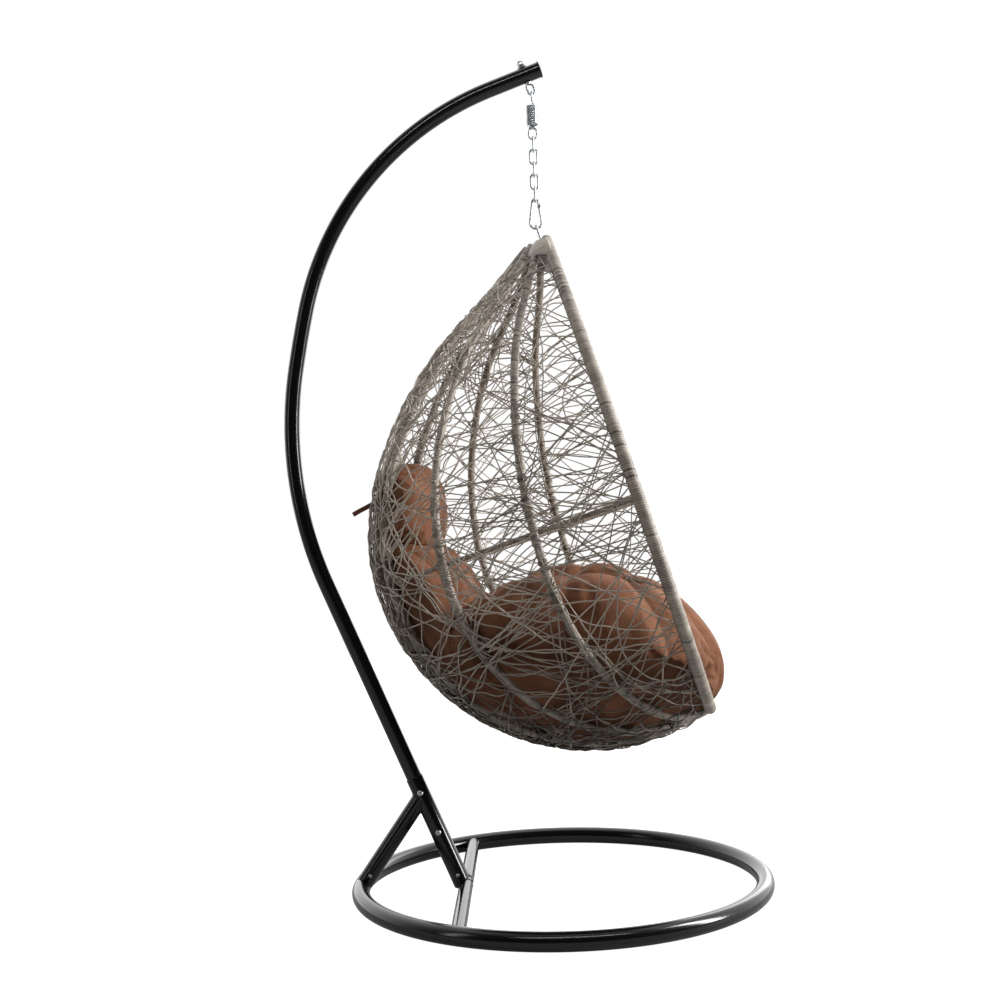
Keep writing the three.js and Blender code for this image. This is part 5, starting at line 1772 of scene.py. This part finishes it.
class EGGCHAIR_OT_arm(bpy.types.Operator):
    """Make the curved arm and its tip cap"""
    bl_idname = "eggchair.arm"
    bl_label = "Arm"

    def execute(self, context):
        build_arm()
        build_end_cap()
        return {"FINISHED"}


class EGGCHAIR_OT_fasteners(bpy.types.Operator):
    """Make the bolts, nuts and screws of the stand"""
    bl_idname = "eggchair.fasteners"
    bl_label = "Fasteners"

    def execute(self, context):
        build_fasteners()
        build_eye_bolt()
        return {"FINISHED"}


class EGGCHAIR_OT_hanger(bpy.types.Operator):
    """Make the spring, the chain and the snap hook"""
    bl_idname = "eggchair.hanger"
    bl_label = "Spring, chain and hook"

    def execute(self, context):
        build_spring()
        build_chain()
        build_snap_hook()
        return {"FINISHED"}


class EGGCHAIR_OT_egg_frame(bpy.types.Operator):
    """Make the wrapped rim, ribs and hoop, the crown and the tip knot"""
    bl_idname = "eggchair.egg_frame"
    bl_label = "Egg frame"

    def execute(self, context):
        build_egg_frame()
        return {"FINISHED"}


class EGGCHAIR_OT_weave(bpy.types.Operator):
    """Lay the random weave over the ribs"""
    bl_idname = "eggchair.weave"
    bl_label = "Weave"

    def execute(self, context):
        build_weave()
        return {"FINISHED"}


class EGGCHAIR_OT_cushions(bpy.types.Operator):
    """Make the seat, back and head cushions and the tie"""
    bl_idname = "eggchair.cushions"
    bl_label = "Cushions"

    def execute(self, context):
        build_seat()
        build_back()
        build_headrest()
        build_tie()
        return {"FINISHED"}


SETTINGS = {
    "egg_chair_colours": EggChairColours,
    "egg_chair_wicker": EggChairWicker,
    "egg_chair_cushions": EggChairCushions,
    "egg_chair_stage": EggChairStage,
}
OPERATORS = (
    EGGCHAIR_OT_stage, EGGCHAIR_OT_base, EGGCHAIR_OT_arm, EGGCHAIR_OT_fasteners, EGGCHAIR_OT_hanger,
    EGGCHAIR_OT_egg_frame, EGGCHAIR_OT_weave, EGGCHAIR_OT_cushions,
)


class EGGCHAIR_PT_sidebar(bpy.types.Panel):
    """Lists the settings and the steps"""
    bl_idname = "EGGCHAIR_PT_sidebar"
    bl_label = "Hanging egg chair"
    bl_space_type = "VIEW_3D"
    bl_region_type = "UI"
    bl_category = "Egg chair"

    def draw(self, context):
        for name, group in SETTINGS.items():
            box = self.layout.box()
            for key in group.__annotations__:
                box.prop(getattr(context.scene, name), key)
        for operator in OPERATORS:
            self.layout.operator(operator.bl_idname)


def register():
    for group in SETTINGS.values():
        bpy.utils.register_class(group)
    for operator in (*OPERATORS, EGGCHAIR_PT_sidebar):
        bpy.utils.register_class(operator)
    for name, group in SETTINGS.items():
        setattr(bpy.types.Scene, name, bpy.props.PointerProperty(type=group))


def unregister():
    for name in SETTINGS:
        delattr(bpy.types.Scene, name)
    for made in (EGGCHAIR_PT_sidebar, *reversed(OPERATORS), *reversed(SETTINGS.values())):
        bpy.utils.unregister_class(made)


def main():
    """Builds the whole chair."""
    register()
    bpy.ops.eggchair.stage()
    bpy.ops.eggchair.base()
    bpy.ops.eggchair.arm()
    bpy.ops.eggchair.fasteners()
    bpy.ops.eggchair.hanger()
    bpy.ops.eggchair.egg_frame()
    bpy.ops.eggchair.weave()
    bpy.ops.eggchair.cushions()


if __name__ == "__main__":
    main()
